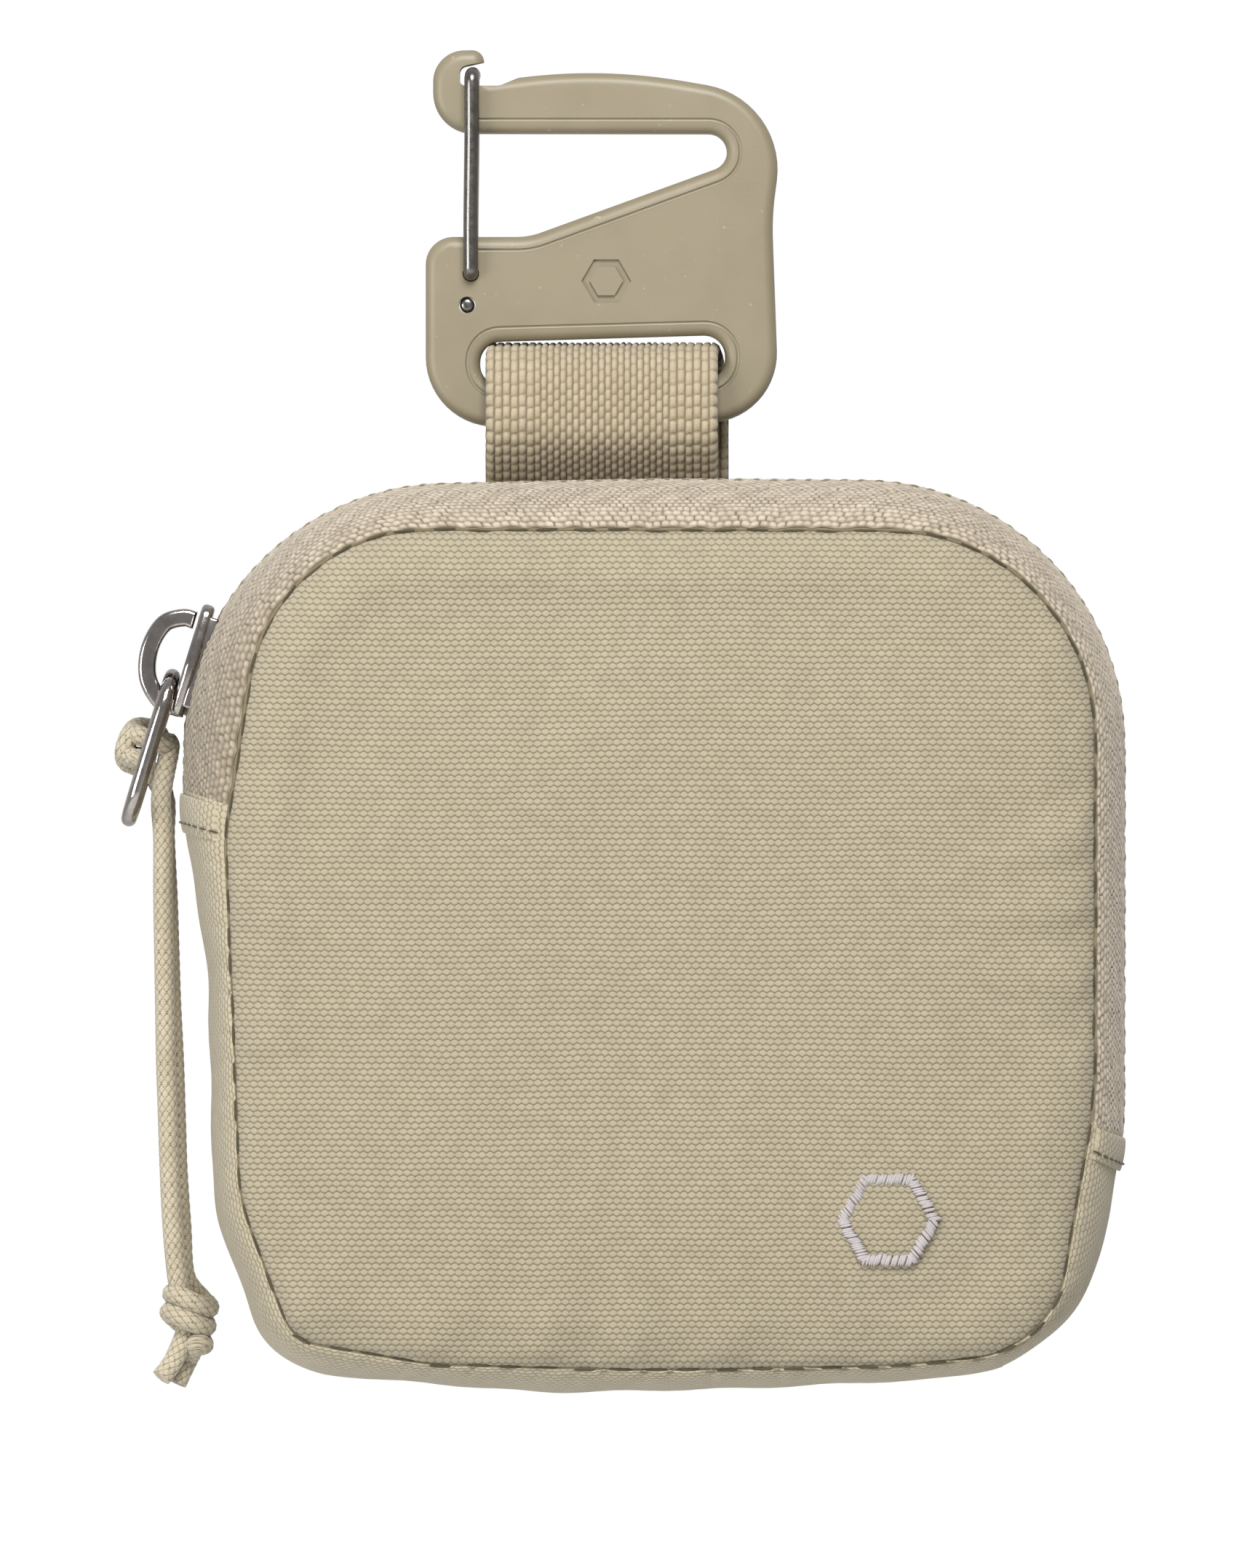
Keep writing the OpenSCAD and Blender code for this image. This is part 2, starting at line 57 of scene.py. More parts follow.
# Heights are counted from the pouch's lowest edge, as in the part's source
HANG_Z = -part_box("lower_gusset")[0].z / MM
HALF_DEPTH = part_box("lower_gusset")[1].y / MM
HOOK_Y = (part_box("hook_body")[0].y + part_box("hook_body")[1].y) / 2 / MM
HOOK_T = (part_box("hook_body")[1].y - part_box("hook_body")[0].y) / MM
PANEL_OUT = -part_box("lower_panel")[0].y / MM
MIDDLE = (0.0, 48.0)
ZIP_ENDS = (64.2, 27.4)
STITCH_PITCH = 3.8
WEBBING = (-18.4, 6.6)
WEBBING_T = 1.7
CORD_D = 2.2
CORD_GAP = 0.05
RING_D = 1.7
RING_R = 3.65
RING_STRAIGHT = 8.8
RING_LEAN = radians(17)
ZIP_CORNER = (-23.5, 71.2)
PLATE_R = 27.25
PLATE_T = 1.2
SLIDER_AT = radians(17)
RING_PATH_R = PLATE_R + PLATE_T + RING_D / 2 + 0.25
RING_AT = radians(12.4)
WIRE_R = 0.8
WIRE_GAP = 0.35
HOLE_DEPTH = 2.0
PIVOT = (-20.1, 121.3)
FOOT_AT = (-20.5, 117.9)
CROSSBAR = (-20.0, 142.9)

# Corners of the seam between the front panel and the band round it: x, height, radius
SEAM = [
    (-39.2, 5.9, 5), (-24, 3.3, 30), (0, 2.7, 100), (26, 3.2, 40), (42.6, 4.9, 11), (47.2, 32, 40),
    (47.2, 93.1, 22), (-41.2, 93.2, 19), (-46.4, 60, 20), (-45.4, 36, 60), (-44.9, 21, 20),
]
# Corners of the pouch's outline at the middle of its depth
OUTLINE = [
    (-41.6, 2.4, 10), (-12, 0, 60), (10, 0.5, 100), (33, 1.6, 40), (46.4, 5.4, 18), (50.6, 28, 30),
    (50.7, 98.6, 28.5), (0, 98.9, 200), (-50.6, 97.8, 28.5), (-51.2, 62, 40), (-48.5, 46, 60),
    (-47.9, 20, 16),
]


# ---- small tools


def row(x, y, z):
    """A point of the drawing, in millimetres, as a point of the frame."""
    return Vector((x, y, z - HANG_Z)) * MM


def rows(points):
    p = np.asarray(points, float).copy()
    p[..., 2] -= HANG_Z
    return p * MM


def rounded(corners, steps):
    """Closed outline of corners (x, z, radius), round stretches as arcs."""
    out = []
    n = len(corners)
    for i, (x, z, r) in enumerate(corners):
        q = Vector((x, z))
        if r <= 0:
            out.append(tuple(q))
            continue
        u = (Vector(corners[i - 1][:2]) - q).normalized()
        v = (Vector(corners[(i + 1) % n][:2]) - q).normalized()
        half = acos(max(-1.0, min(1.0, u.dot(v)))) / 2
        mid = q + (u + v).normalized() * (r / sin(half))
        a, b = q + u * (r / tan(half)) - mid, q + v * (r / tan(half)) - mid
        turn = atan2(a.x * b.y - a.y * b.x, a.dot(b))
        start = atan2(a.y, a.x)
        for k in range(steps + 1):
            t = start + turn * k / steps
            out.append((mid.x + r * cos(t), mid.y + r * sin(t)))
    return out


def radius_of(corners):
    """The outline's distance from the pouch's middle, as a function of direction."""
    p = np.array(rounded(corners, 24))
    q = np.vstack([p, p[:1]])
    t = np.linspace(0, 1, 8, endpoint=False)
    dense = (q[:-1, None] * (1 - t)[None, :, None] + q[1:, None] * t[None, :, None]).reshape(-1, 2)
    d = dense - np.array(MIDDLE)
    angle = np.arctan2(d[:, 1], d[:, 0])
    order = np.argsort(angle)
    angle, r = angle[order], np.hypot(d[:, 0], d[:, 1])[order]
    return lambda a: np.interp(a, angle, r, period=2 * pi)


seam_radius = radius_of(SEAM)
outline_radius = radius_of(OUTLINE)


def all_round(n):
    return np.linspace(-pi, pi, n, endpoint=False)


def around(angle, radius):
    return MIDDLE[0] + radius * np.cos(angle), MIDDLE[1] + radius * np.sin(angle)


def angle_at(z, right):
    """Direction from the middle in which the outline is at that height."""
    a = np.linspace(-pi / 2, pi / 2, 4000)
    if not right:
        a = pi - a
    h = around(a, outline_radius(a))[1]
    return float(a[np.argmin(np.abs(h - z))])


def cad_middle(node):
    """Middle of a CAD solid's box in the drawing's x and height, and its half width and half height."""
    low, high = (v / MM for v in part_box(node))
    return (low.x + high.x) / 2, (low.z + high.z) / 2 + HANG_Z, (high.x - low.x) / 2, (high.z - low.z) / 2


def assign(obj, body, slot, *nodes):
    """Hides the CAD nodes the piece stands for and puts it on the body it rides on; slot, the piece's finish, is not
    used.
    """
    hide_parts(*nodes)
    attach(obj, body)


def link(name, data):
    """A new object of the scene."""
    obj = bpy.data.objects.new(name, data)
    bpy.context.scene.collection.objects.link(obj)
    return obj


def mesh_object(name, verts, faces, uvs=None, material=None, sharp=None, relief=None):
    me = bpy.data.meshes.new(name)
    me.from_pydata([tuple(v) for v in verts], [], faces)
    if relief is not None:
        heights = me.attributes.new("relief", "FLOAT", "POINT").data
        heights.foreach_set("value", np.asarray(relief, np.float32).ravel())
    if uvs is not None:
        layer = me.uv_layers.new(name="UVMap")
        index = np.empty(len(me.loops), dtype=np.int64)
        me.loops.foreach_get("vertex_index", index)
        layer.data.foreach_set("uv", np.asarray(uvs, np.float32)[index].ravel())
    me.validate()
    me.shade_smooth()
    if sharp:
        me.set_sharp_from_angle(angle=radians(sharp))
    obj = link(name, me)
    if material:
        me.materials.append(material)
    return obj


def facing_out(obj, merge=False):
    """The same object, with every face looking outwards."""
    bm = bmesh.new()
    bm.from_mesh(obj.data)
    if merge:
        bmesh.ops.remove_doubles(bm, verts=bm.verts, dist=1e-6)
    bmesh.ops.recalc_face_normals(bm, faces=bm.faces)
    bm.to_mesh(obj.data)
    bm.free()
    return obj


def grid_faces(n_rows, n_cols, closed=False, base=0, flip=False):
    out = []
    cols = n_cols if closed else n_cols - 1
    for i in range(n_rows - 1):
        for j in range(cols):
            k = (j + 1) % n_cols
            a, b = base + i * n_cols + j, base + i * n_cols + k
            c, d = b + n_cols, a + n_cols
            out.append((a, d, c, b) if flip else (a, b, c, d))
    return out


def slab(name, outer, inner, uv, material, relief=None, inner_relief=None):
    """A thin closed sheet between two grids of points with the same number of columns."""
    n_rows, n_cols = outer.shape[:2]
    m_rows = inner.shape[0]
    n = n_rows * n_cols
    faces = grid_faces(n_rows, n_cols) + grid_faces(m_rows, n_cols, False, n, True)
    last, far = (n_rows - 1) * n_cols, n + (m_rows - 1) * n_cols
    for j in range(n_cols - 1):
        faces.append((j, n + j, n + j + 1, j + 1))
        faces.append((last + j, last + j + 1, far + j + 1, far + j))
    for col, flip in ((0, False), (n_cols - 1, True)):
        end = [i * n_cols + col for i in range(n_rows)]
        end += [n + i * n_cols + col for i in reversed(range(m_rows))]
        faces.append(tuple(end[::-1] if flip else end))
    verts = np.concatenate([outer.reshape(-1, 3), inner.reshape(-1, 3)])
    pick = np.linspace(0, n_rows - 1, m_rows).round().astype(int)
    uvs = np.concatenate([uv.reshape(-1, 2), uv[pick].reshape(-1, 2)])
    if relief is not None:
        under = inner_relief if inner_relief is not None else np.full((m_rows, n_cols), 0.4)
        relief = np.concatenate([relief.ravel(), under.ravel()])
    obj = mesh_object(name, rows(verts), faces, uvs, material, 50, relief)
    return facing_out(obj)


def run_along(*axes):
    """Distance along a path from its start, at each of its points."""
    steps = np.sqrt(sum(np.diff(a) ** 2 for a in axes))
    return np.concatenate([[0], np.cumsum(steps)])


def tangents(path):
    t = np.gradient(path, axis=0)
    return t / np.linalg.norm(t, axis=1)[:, None]


def frames_along(path):
    """Two normals at each point of a path, turning as little as possible."""
    t = tangents(path)
    u = np.empty_like(t)
    seed = np.array([0.0, 1.0, 0.0]) if abs(t[0][1]) < 0.9 else np.array([1.0, 0.0, 0.0])
    u[0] = seed - t[0] * seed.dot(t[0])
    u[0] /= np.linalg.norm(u[0])
    for i in range(1, len(t)):
        w = u[i - 1] - t[i] * u[i - 1].dot(t[i])
        u[i] = w / np.linalg.norm(w)
    return u, np.cross(t, u)


def smooth_path(points, step):
    """Catmull-Rom curve through the points, resampled at an even step."""
    p = np.asarray(points, float)
    p = np.vstack([2 * p[0] - p[1], p, 2 * p[-1] - p[-2]])
    out = []
    for i in range(1, len(p) - 2):
        t = np.linspace(0, 1, 40, endpoint=False)[:, None]
        a, b, c, d = p[i - 1], p[i], p[i + 1], p[i + 2]
        out.append(0.5 * (2 * b + (c - a) * t + (2 * a - 5 * b + 4 * c - d) * t**2
                          + (3 * b - a - 3 * c + d) * t**3))
    dense = np.vstack(out + [p[-2][None]])
    s = run_along(*dense.T)
    n = max(3, int(round(s[-1] / step)) + 1)
    even = np.linspace(0, s[-1], n)
    return np.stack([np.interp(even, s, dense[:, k]) for k in range(3)], axis=1)


def tube(name, path, radius, material, sides, relief=None):
    """A closed tube along a path; relief(s, angle) gives what its radius gains, and its tone."""
    u, v = frames_along(path)
    s = run_along(*path.T)
    a = np.linspace(0, 2 * pi, sides, endpoint=False)
    r = np.broadcast_to(np.asarray(radius, float).reshape(-1, 1), (len(path), sides)).copy()
    tone = None
    if relief is not None:
        lift, tone = relief(s[:, None], a[None, :])
        r += lift
    ring = np.cos(a)[None, :, None] * u[:, None] + np.sin(a)[None, :, None] * v[:, None]
    verts = path[:, None] + ring * r[..., None]
    faces = grid_faces(len(path), sides, True)
    verts = verts.reshape(-1, 3)
    uv = np.stack(np.broadcast_arrays(s[:, None] / 10, a[None, :] / 10), axis=-1).reshape(-1, 2)
    faces.append(tuple(range(sides - 1, -1, -1)))
    faces.append(tuple((len(path) - 1) * sides + k for k in range(sides)))
    return mesh_object(name, rows(verts), faces, uv, material, sharp=60, relief=tone)


def loop_tube(name, pts, radius, normal, material, sides=16):
    """A round ring along a closed flat path."""
    t = np.roll(pts, -1, 0) - np.roll(pts, 1, 0)
    t /= np.linalg.norm(t, axis=1)[:, None]
    w = np.cross(t, normal)
    a = np.linspace(0, 2 * pi, sides, endpoint=False)
    ring = np.cos(a)[None, :, None] * w[:, None] + np.sin(a)[None, :, None] * normal
    verts = (pts[:, None] + ring * radius).reshape(-1, 3)
    faces = grid_faces(len(pts), sides, True)
    last = (len(pts) - 1) * sides
    faces += [(last + j, last + (j + 1) % sides, (j + 1) % sides, j) for j in range(sides)]
    obj = mesh_object(name, rows(verts), faces, None, material)
    return facing_out(obj)


def flat_piece(name, outlines, thickness, bevel, place, material, resolution):
    """Outlines in a plane, the first solid and the others holes, as a plate with round edges."""
    cu = bpy.data.curves.new(name, "CURVE")
    cu.dimensions = "2D"
    cu.fill_mode = "BOTH"
    cu.extrude = (thickness / 2 - bevel) * MM
    cu.bevel_depth = bevel * MM
    cu.bevel_resolution = resolution
    cu.offset = -bevel * MM
    for outline in outlines:
        sp = cu.splines.new("POLY")
        sp.points.add(len(outline) - 1)
        for pt, (x, z) in zip(sp.points, outline):
            pt.co = (x * MM, z * MM, 0, 1)
        sp.use_cyclic_u = True
    obj = link(name, cu)
    dg = bpy.context.evaluated_depsgraph_get()
    me = bpy.data.meshes.new_from_object(obj.evaluated_get(dg))
    bpy.data.objects.remove(obj)
    me.transform(place)
    obj = facing_out(link(name, me), merge=True)
    me.materials.clear()
    me.materials.append(material)
    me.shade_smooth()
    me.set_sharp_from_angle(angle=radians(40))
    return obj


def applied(obj):
    """Modifiers of the object, made part of its mesh."""
    dg = bpy.context.evaluated_depsgraph_get()
    me = bpy.data.meshes.new_from_object(obj.evaluated_get(dg))
    obj.modifiers.clear()
    obj.data = me
    return obj


def even_shading(obj):
    """Smooth shading that keeps the large flat faces flat."""
    obj.data.shade_smooth()
    obj.data.set_sharp_from_angle(angle=radians(35))
    m = obj.modifiers.new("normals", "WEIGHTED_NORMAL")
    m.keep_sharp = True
    m.weight = 100
    return applied(obj)


def cut(obj, *cutters):
    for c in cutters:
        m = obj.modifiers.new("cut", "BOOLEAN")
        m.operation = "DIFFERENCE"
        m.solver = "EXACT"
        m.object = c
        applied(obj)
        bpy.data.objects.remove(c)
    return even_shading(obj)


def bar_outline(points, half):
    """Outline of a flat bar of even width along a curve."""
    path = smooth_path([(x, 0, z) for x, z in points], 0.25)
    t = tangents(path)
    side = np.stack([-t[:, 2], t[:, 0]], axis=1) * half
    xz = path[:, [0, 2]]
    return [tuple(v) for v in np.concatenate([xz + side, (xz - side)[::-1]])]


# The drawing's plane, x right and height up, facing the viewer, at a depth y
def facing(y):
    return Matrix.Translation(row(0, y, 0)) @ Matrix.Rotation(radians(90), 4, "X")


# ---- materials


class Nodes:
    """Short names for building a material's nodes."""

    def __init__(self, name, roughness=0.8, **sockets):
        self.mat = bpy.data.materials.new(name)
        self.mat.use_nodes = True
        self.tree = self.mat.node_tree
        self.shader = self.tree.nodes["Principled BSDF"]
        self.shader.inputs["Roughness"].default_value = roughness
        for key, value in sockets.items():
            self.shader.inputs[key.replace("_", " ")].default_value = value

    def node(self, kind, **settings):
        n = self.tree.nodes.new(kind)
        for k, v in settings.items():
            setattr(n, k, v)
        return n

    def plug(self, socket, value):
        if isinstance(value, bpy.types.NodeSocket):
            self.tree.links.new(value, socket)
        elif value is not None:
            socket.default_value = value

    def math(self, op, a, b=None):
        n = self.node("ShaderNodeMath", operation=op)
        self.plug(n.inputs[0], a)
        self.plug(n.inputs[1], b)
        return n.outputs[0]

    def ranged(self, value, low, high, out_low=0.0, out_high=1.0):
        n = self.node("ShaderNodeMapRange")
        for socket, v in zip(n.inputs, (value, low, high, out_low, out_high)):
            self.plug(socket, v)
        return n.outputs[0]

    def place(self):
        """Position on the part, in metres."""
        return self.node("ShaderNodeTexCoord").outputs["Object"]

    def split(self, vector):
        n = self.node("ShaderNodeSeparateXYZ")
        self.plug(n.inputs[0], vector)
        return n.outputs

    def uv(self):
        """The piece's own map, in centimetres along and across."""
        return self.split(self.node("ShaderNodeUVMap", uv_map="UVMap").outputs[0])

    def noise(self, vector, scale, detail=3.0, rough=0.5):
        n = self.node("ShaderNodeTexNoise")
        self.plug(n.inputs["Vector"], vector)
        n.inputs["Scale"].default_value = scale
        n.inputs["Detail"].default_value = detail
        n.inputs["Roughness"].default_value = rough
        return n.outputs[0]

    def mix(self, factor, a, b):
        n = self.node("ShaderNodeMix", data_type="RGBA")
        self.plug(n.inputs[0], factor)
        self.plug(n.inputs[6], (*a, 1) if isinstance(a, tuple) else a)
        self.plug(n.inputs[7], (*b, 1) if isinstance(b, tuple) else b)
        return n.outputs[2]

    def colour(self, value):
        self.plug(self.shader.inputs["Base Color"], value)

    def bump(self, height, distance):
        n = self.node("ShaderNodeBump")
        n.inputs["Strength"].default_value = 1.0
        n.inputs["Distance"].default_value = distance
        self.plug(n.inputs["Height"], height)
        self.plug(self.shader.inputs["Normal"], n.outputs[0])


def srgb(r, g, b):
    """A colour as seen, 0 to 255, as a linear reflectance under this scene's light."""
    def lin(c):
        c /= 255
        return c / 12.92 if c <= 0.04045 else ((c + 0.055) / 1.055) ** 2.4
    return tuple(lin(c) / LIGHT_LEVEL for c in (r, g, b))


# How bright a plain surface facing the viewer comes out, against its own colour
LIGHT_LEVEL = 1.56


# Sideways wave of the gaps between rows, as a share of a row
ROW_WAVE = 0.13


def woven(name, light, dark, gap, pitch=(0.85, 0.633), on_uv=False, depth=0.0001):
    """Coarse plain weave: rows of oval humps, each row half a hump along from the last."""
    m = Nodes(name, 0.86, Sheen_Weight=0.2, Sheen_Roughness=0.6, Specular_IOR_Level=0.25)
    place = m.place()
    if on_uv:
        u, v, _ = m.uv()
        u, v = m.math("MULTIPLY", u, 0.01), m.math("MULTIPLY", v, 0.01)
    else:
        u, _, v = m.split(place)
    wobble = m.math("MULTIPLY", m.math("SUBTRACT", m.noise(place, 300, 2), 0.5), 0.00025)
    slow = m.math("MULTIPLY", m.math("SUBTRACT", m.noise(place, 25, 2), 0.5), 0.001)
    u = m.math("DIVIDE", m.math("ADD", u, wobble), pitch[0] * MM)
    v = m.math("DIVIDE", m.math("ADD", m.math("ADD", v, wobble), slow), pitch[1] * MM)
    near = m.math("ROUND", v)
    odd = m.math("MODULO", m.math("ABSOLUTE", near), 2.0)
    sign = m.math("SUBTRACT", 1.0, m.math("MULTIPLY", odd, 2.0))
    swing = m.math("COSINE", m.math("MULTIPLY", u, 2 * pi))
    wave = m.math("MULTIPLY", swing, m.math("MULTIPLY", sign, ROW_WAVE))
    past = m.math("SUBTRACT", m.math("SUBTRACT", v, near), wave)
    line = m.math("ADD", near, m.math("FLOOR", past))
    odd = m.math("MODULO", m.math("ABSOLUTE", line), 2.0)
    along = m.math("FRACT", m.math("ADD", u, m.math("MULTIPLY", odd, 0.5)))
    off_col = m.math("SUBTRACT", 0.5, m.math("ABSOLUTE", m.math("SUBTRACT", along, 0.5)))
    row_h = m.ranged(m.math("ABSOLUTE", past), 0.0, 0.32)
    col_h = m.ranged(off_col, 0.0, 0.2, 0.55, 1.0)
    height = m.math("MULTIPLY", m.math("POWER", row_h, 0.6), col_h)
    fuzz = m.noise(place, 5200, 2)
    patch = m.noise(place, 700, 3)
    base = m.mix(m.ranged(patch, 0.3, 0.7), light, dark)
    # Painted shade: the gap colour fills the hollows between the humps.
    m.colour(m.mix(m.ranged(height, 0.1, 0.75), gap, base))
    m.bump(m.math("ADD", height, m.math("MULTIPLY", fuzz, 0.15)), depth)
    return m.mat


def yarny(name, light, dark, gap, scale=1500, low=0.1, high=0.7):
    """Yarn whose humps are in the mesh, with painted shade in the gaps between them."""
    m = Nodes(name, 0.88, Sheen_Weight=0.25, Sheen_Roughness=0.6, Specular_IOR_Level=0.2)
    place = m.place()
    grain = m.noise(place, scale, 4, 0.65)
    patch = m.noise(place, 420, 3)
    tone = m.math("ADD", m.math("MULTIPLY", grain, 0.5), m.math("MULTIPLY", patch, 0.5))
    base = m.mix(m.ranged(tone, 0.36, 0.64), dark, light)
    hump = m.node("ShaderNodeAttribute", attribute_name="relief").outputs["Fac"]
    m.colour(m.mix(m.ranged(hump, low, high), gap, base))
    m.bump(grain, 0.00005)
    return m.mat


def threadlike(name, light, dark):
    """Fine fibre, for yarn whose humps are in the mesh itself."""
    m = Nodes(name, 0.85, Sheen_Weight=0.35, Sheen_Roughness=0.5, Specular_IOR_Level=0.25)
    place = m.place()
    grain = m.noise(place, 4000, 4, 0.6)
    patch = m.noise(place, 300, 3)
    tone = m.math("ADD", m.math("MULTIPLY", grain, 0.6), m.math("MULTIPLY", patch, 0.4))
    m.colour(m.mix(m.ranged(tone, 0.35, 0.65), dark, light))
    m.bump(grain, 0.00006)
    return m.mat


def metal(name, light, dark, rough):
    m = Nodes(name, rough, Metallic=1.0)
    place = m.place()
    wear = m.noise(place, 900, 5, 0.6)
    fine = m.noise(place, 6000, 2)
    m.colour(m.mix(m.ranged(wear, 0.35, 0.65), dark, light))
    m.plug(m.shader.inputs["Roughness"], m.ranged(wear, 0.3, 0.7, rough * 0.8, rough * 1.3))
    m.bump(fine, 0.000008)
    return m.mat


def moulded(name, light, dark, fleck):
    """Satin plastic with faint pale flecks."""
    m = Nodes(name, 0.46, Specular_IOR_Level=0.45, Coat_Weight=0.08, Coat_Roughness=0.35)
    place = m.place()
    cloud = m.noise(place, 120, 3)
    speck = m.noise(place, 1700, 2, 0.3)
    base = m.mix(m.ranged(cloud, 0.35, 0.65), dark, light)
    m.colour(m.mix(m.ranged(speck, 0.72, 0.8), base, fleck))
    m.bump(m.noise(place, 2600, 3), 0.000012)
    return m.mat


def padding(name, light, dark):
    m = Nodes(name, 0.95)
    cells = m.node("ShaderNodeTexVoronoi")
    m.plug(cells.inputs["Vector"], m.place())
    cells.inputs["Scale"].default_value = 1500
    m.colour(m.mix(cells.outputs[0], dark, light))
    m.bump(cells.outputs[0], 0.0001)
    return m.mat


# In the woven and yarny materials, the third colour is painted shade for the gaps between yarns.
SAND = srgb(190, 178, 151)
SAND_DARK = srgb(181, 169, 142)
SAND_GAP_SHADE = srgb(128, 118, 90)
PALE = srgb(226, 211, 190)
PALE_DARK = srgb(196, 181, 160)
PALE_GAP_SHADE = srgb(120, 108, 84)

fabric = woven("pouch_fabric", SAND, SAND_DARK, SAND_GAP_SHADE)
# Painted light: a brighter copy of the pouch fabric, for the band round the pouch and the zip's end tabs.
gusset_fabric_lit = woven("gusset_fabric_lit", srgb(204, 192, 164), srgb(194, 182, 154),
                      srgb(146, 134, 106), on_uv=True)
tape = yarny("zip_tape", PALE, PALE_DARK, PALE_GAP_SHADE)
webbing_yarn = yarny("webbing_yarn", srgb(206, 190, 160), srgb(188, 172, 142),
                     srgb(148, 133, 104), 3000, 0.05, 0.6)
cord_yarn = yarny("cord_yarn", srgb(216, 204, 178), srgb(198, 186, 160),
                  srgb(132, 120, 94), 2600, 0.2, 0.62)
thread = threadlike("seam_thread", srgb(148, 136, 106), srgb(126, 114, 86))
dark_thread = threadlike("shadow_thread", srgb(150, 138, 112), srgb(128, 116, 90))
# Thread in the dark of the seam's crease: painted shade, used for the seam and tab stitches.
crease_shade_thread = threadlike("crease_shade_thread", srgb(96, 85, 58), srgb(74, 65, 42))
pale_thread = threadlike("mark_thread", srgb(214, 206, 206), srgb(192, 184, 184))
coil_plastic = moulded("coil_plastic", srgb(176, 164, 140), srgb(160, 148, 124), srgb(190, 178, 154))
lining = woven("lining_fabric", srgb(150, 143, 122), srgb(138, 131, 110),
               srgb(110, 104, 86), (0.5, 0.3), depth=0.00005)
binding = woven("binding_tape", srgb(138, 131, 112), srgb(124, 117, 98), srgb(90, 84, 68), (1.2, 0.5))
foam = padding("foam_cells", (0.06, 0.06, 0.06), (0.02, 0.02, 0.02))
steel = metal("bright_steel", (0.2, 0.19, 0.175), (0.16, 0.153, 0.14), 0.27)
nickel = metal("dark_nickel", (0.42, 0.39, 0.37), (0.34, 0.31, 0.295), 0.13)
plastic = moulded("hook_plastic", srgb(156, 145, 119), srgb(150, 139, 113), srgb(182, 173, 152))

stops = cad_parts["zip_stops"].data
stops.materials.clear()
stops.materials.append(nickel)


# ---- camera and light

PHOTO_H = 169.8
SENSOR = 36
VIEW_CENTRE = (-3.1, 65.9)
CAMERA_AWAY = 2400.0

camera_data = bpy.data.cameras.new("camera")
camera_data.sensor_fit = "VERTICAL"
camera_data.sensor_height = SENSOR
camera_data.lens = SENSOR * CAMERA_AWAY / PHOTO_H
camera_data.clip_end = 20
camera = link("camera", camera_data)
camera.location = row(VIEW_CENTRE[0], -CAMERA_AWAY, VIEW_CENTRE[1])
camera.rotation_euler = (radians(90), 0, 0)
bpy.context.scene.camera = camera
bpy.context.scene.view_settings.view_transform = "Standard"

world = bpy.data.worlds.new("studio")
world.use_nodes = True
sky = world.node_tree
toward = sky.nodes.new("ShaderNodeTexCoord")
axes = sky.nodes.new("ShaderNodeSeparateXYZ")
level = sky.nodes.new("ShaderNodeMapRange")
seen = sky.nodes.new("ShaderNodeLightPath")
pick = sky.nodes.new("ShaderNodeMath")
pick.operation = "MAXIMUM"
# Plain white to look at; as a light, dimmer on the viewer's side, where the lamps do the work
for i, value in ((1, -0.3), (2, 0.4), (3, 0.36), (4, 0.7)):
    level.inputs[i].default_value = value
sky.links.new(toward.outputs["Generated"], axes.inputs[0])
sky.links.new(axes.outputs[1], level.inputs[0])
sky.links.new(level.outputs[0], pick.inputs[0])
sky.links.new(seen.outputs["Is Camera Ray"], pick.inputs[1])
sky.links.new(pick.outputs[0], sky.nodes["Background"].inputs[1])
sky.nodes["Background"].inputs[0].default_value = (1, 1, 1, 1)
bpy.context.scene.world = world


def lamp(name, at, size, power):
    data = bpy.data.lights.new(name, "AREA")
    data.size = size
    data.energy = power
    obj = link(name, data)
    obj.location = row(*at)
    obj.rotation_euler = (row(0, 0, 60) - obj.location).to_track_quat("-Z", "Y").to_euler()


lamp("key", (60, -640, 640), 0.4, 9.5)
lamp("fill", (-560, -520, 60), 0.35, 3.2)

FLOOR_Z, FLOOR_HALF = -0.42, 3.0
floor_corners = [Vector((FLOOR_HALF * i, FLOOR_HALF * j, FLOOR_Z)) for i, j in ((-1, -1), (1, -1), (1, 1), (-1, 1))]
floor = mesh_object("floor", floor_corners, [(0, 1, 2, 3)])
floor_look = Nodes("floor_paint", 0.9)
patches = floor_look.noise(floor_look.place(), 3)
floor_look.colour(floor_look.mix(patches, (0.8, 0.8, 0.79), (0.84, 0.84, 0.83)))
floor.data.materials.append(floor_look.mat)


# ---- panels

PUCKERS = [
    # direction from the middle in degrees, width in degrees, length in mm, depth in mm
    (15, 2.8, 17, 0.36), (6, 2.4, 14, 0.34), (-4, 2.8, 16, 0.38), (-15, 2.6, 13, 0.28),
    (-52, 3.0, 12, 0.3), (-66, 2.6, 11, 0.28), (-80, 3.0, 13, 0.3), (-93, 2.6, 11, 0.26), (-106, 3.0, 14, 0.32),
    (-120, 2.8, 12, 0.3), (-135, 3.0, 13, 0.3), (172, 3.0, 10, 0.2), (-168, 2.8, 11, 0.24),
    (150, 2.4, 9, 0.18), (128, 2.8, 9, 0.18), (52, 3.0, 10, 0.2), (36, 2.6, 9, 0.2),
]


# How far the panel's edge lies below the rim of the band
EDGE_DROP = 0.4
# Width of the first triangles in from the seam, and how near it a point counts as on it
EDGE_STRIP = 0.55
ON_SEAM = 0.05
# How much the puckers are deepened, and their dip and its distance against the fold
PUCKER_GAIN, DIP, DIP_AT = 2.4, 0.7, 1.9
# Distance from the seam over which the rear panel's crown rises
CROWN_RUN = 14


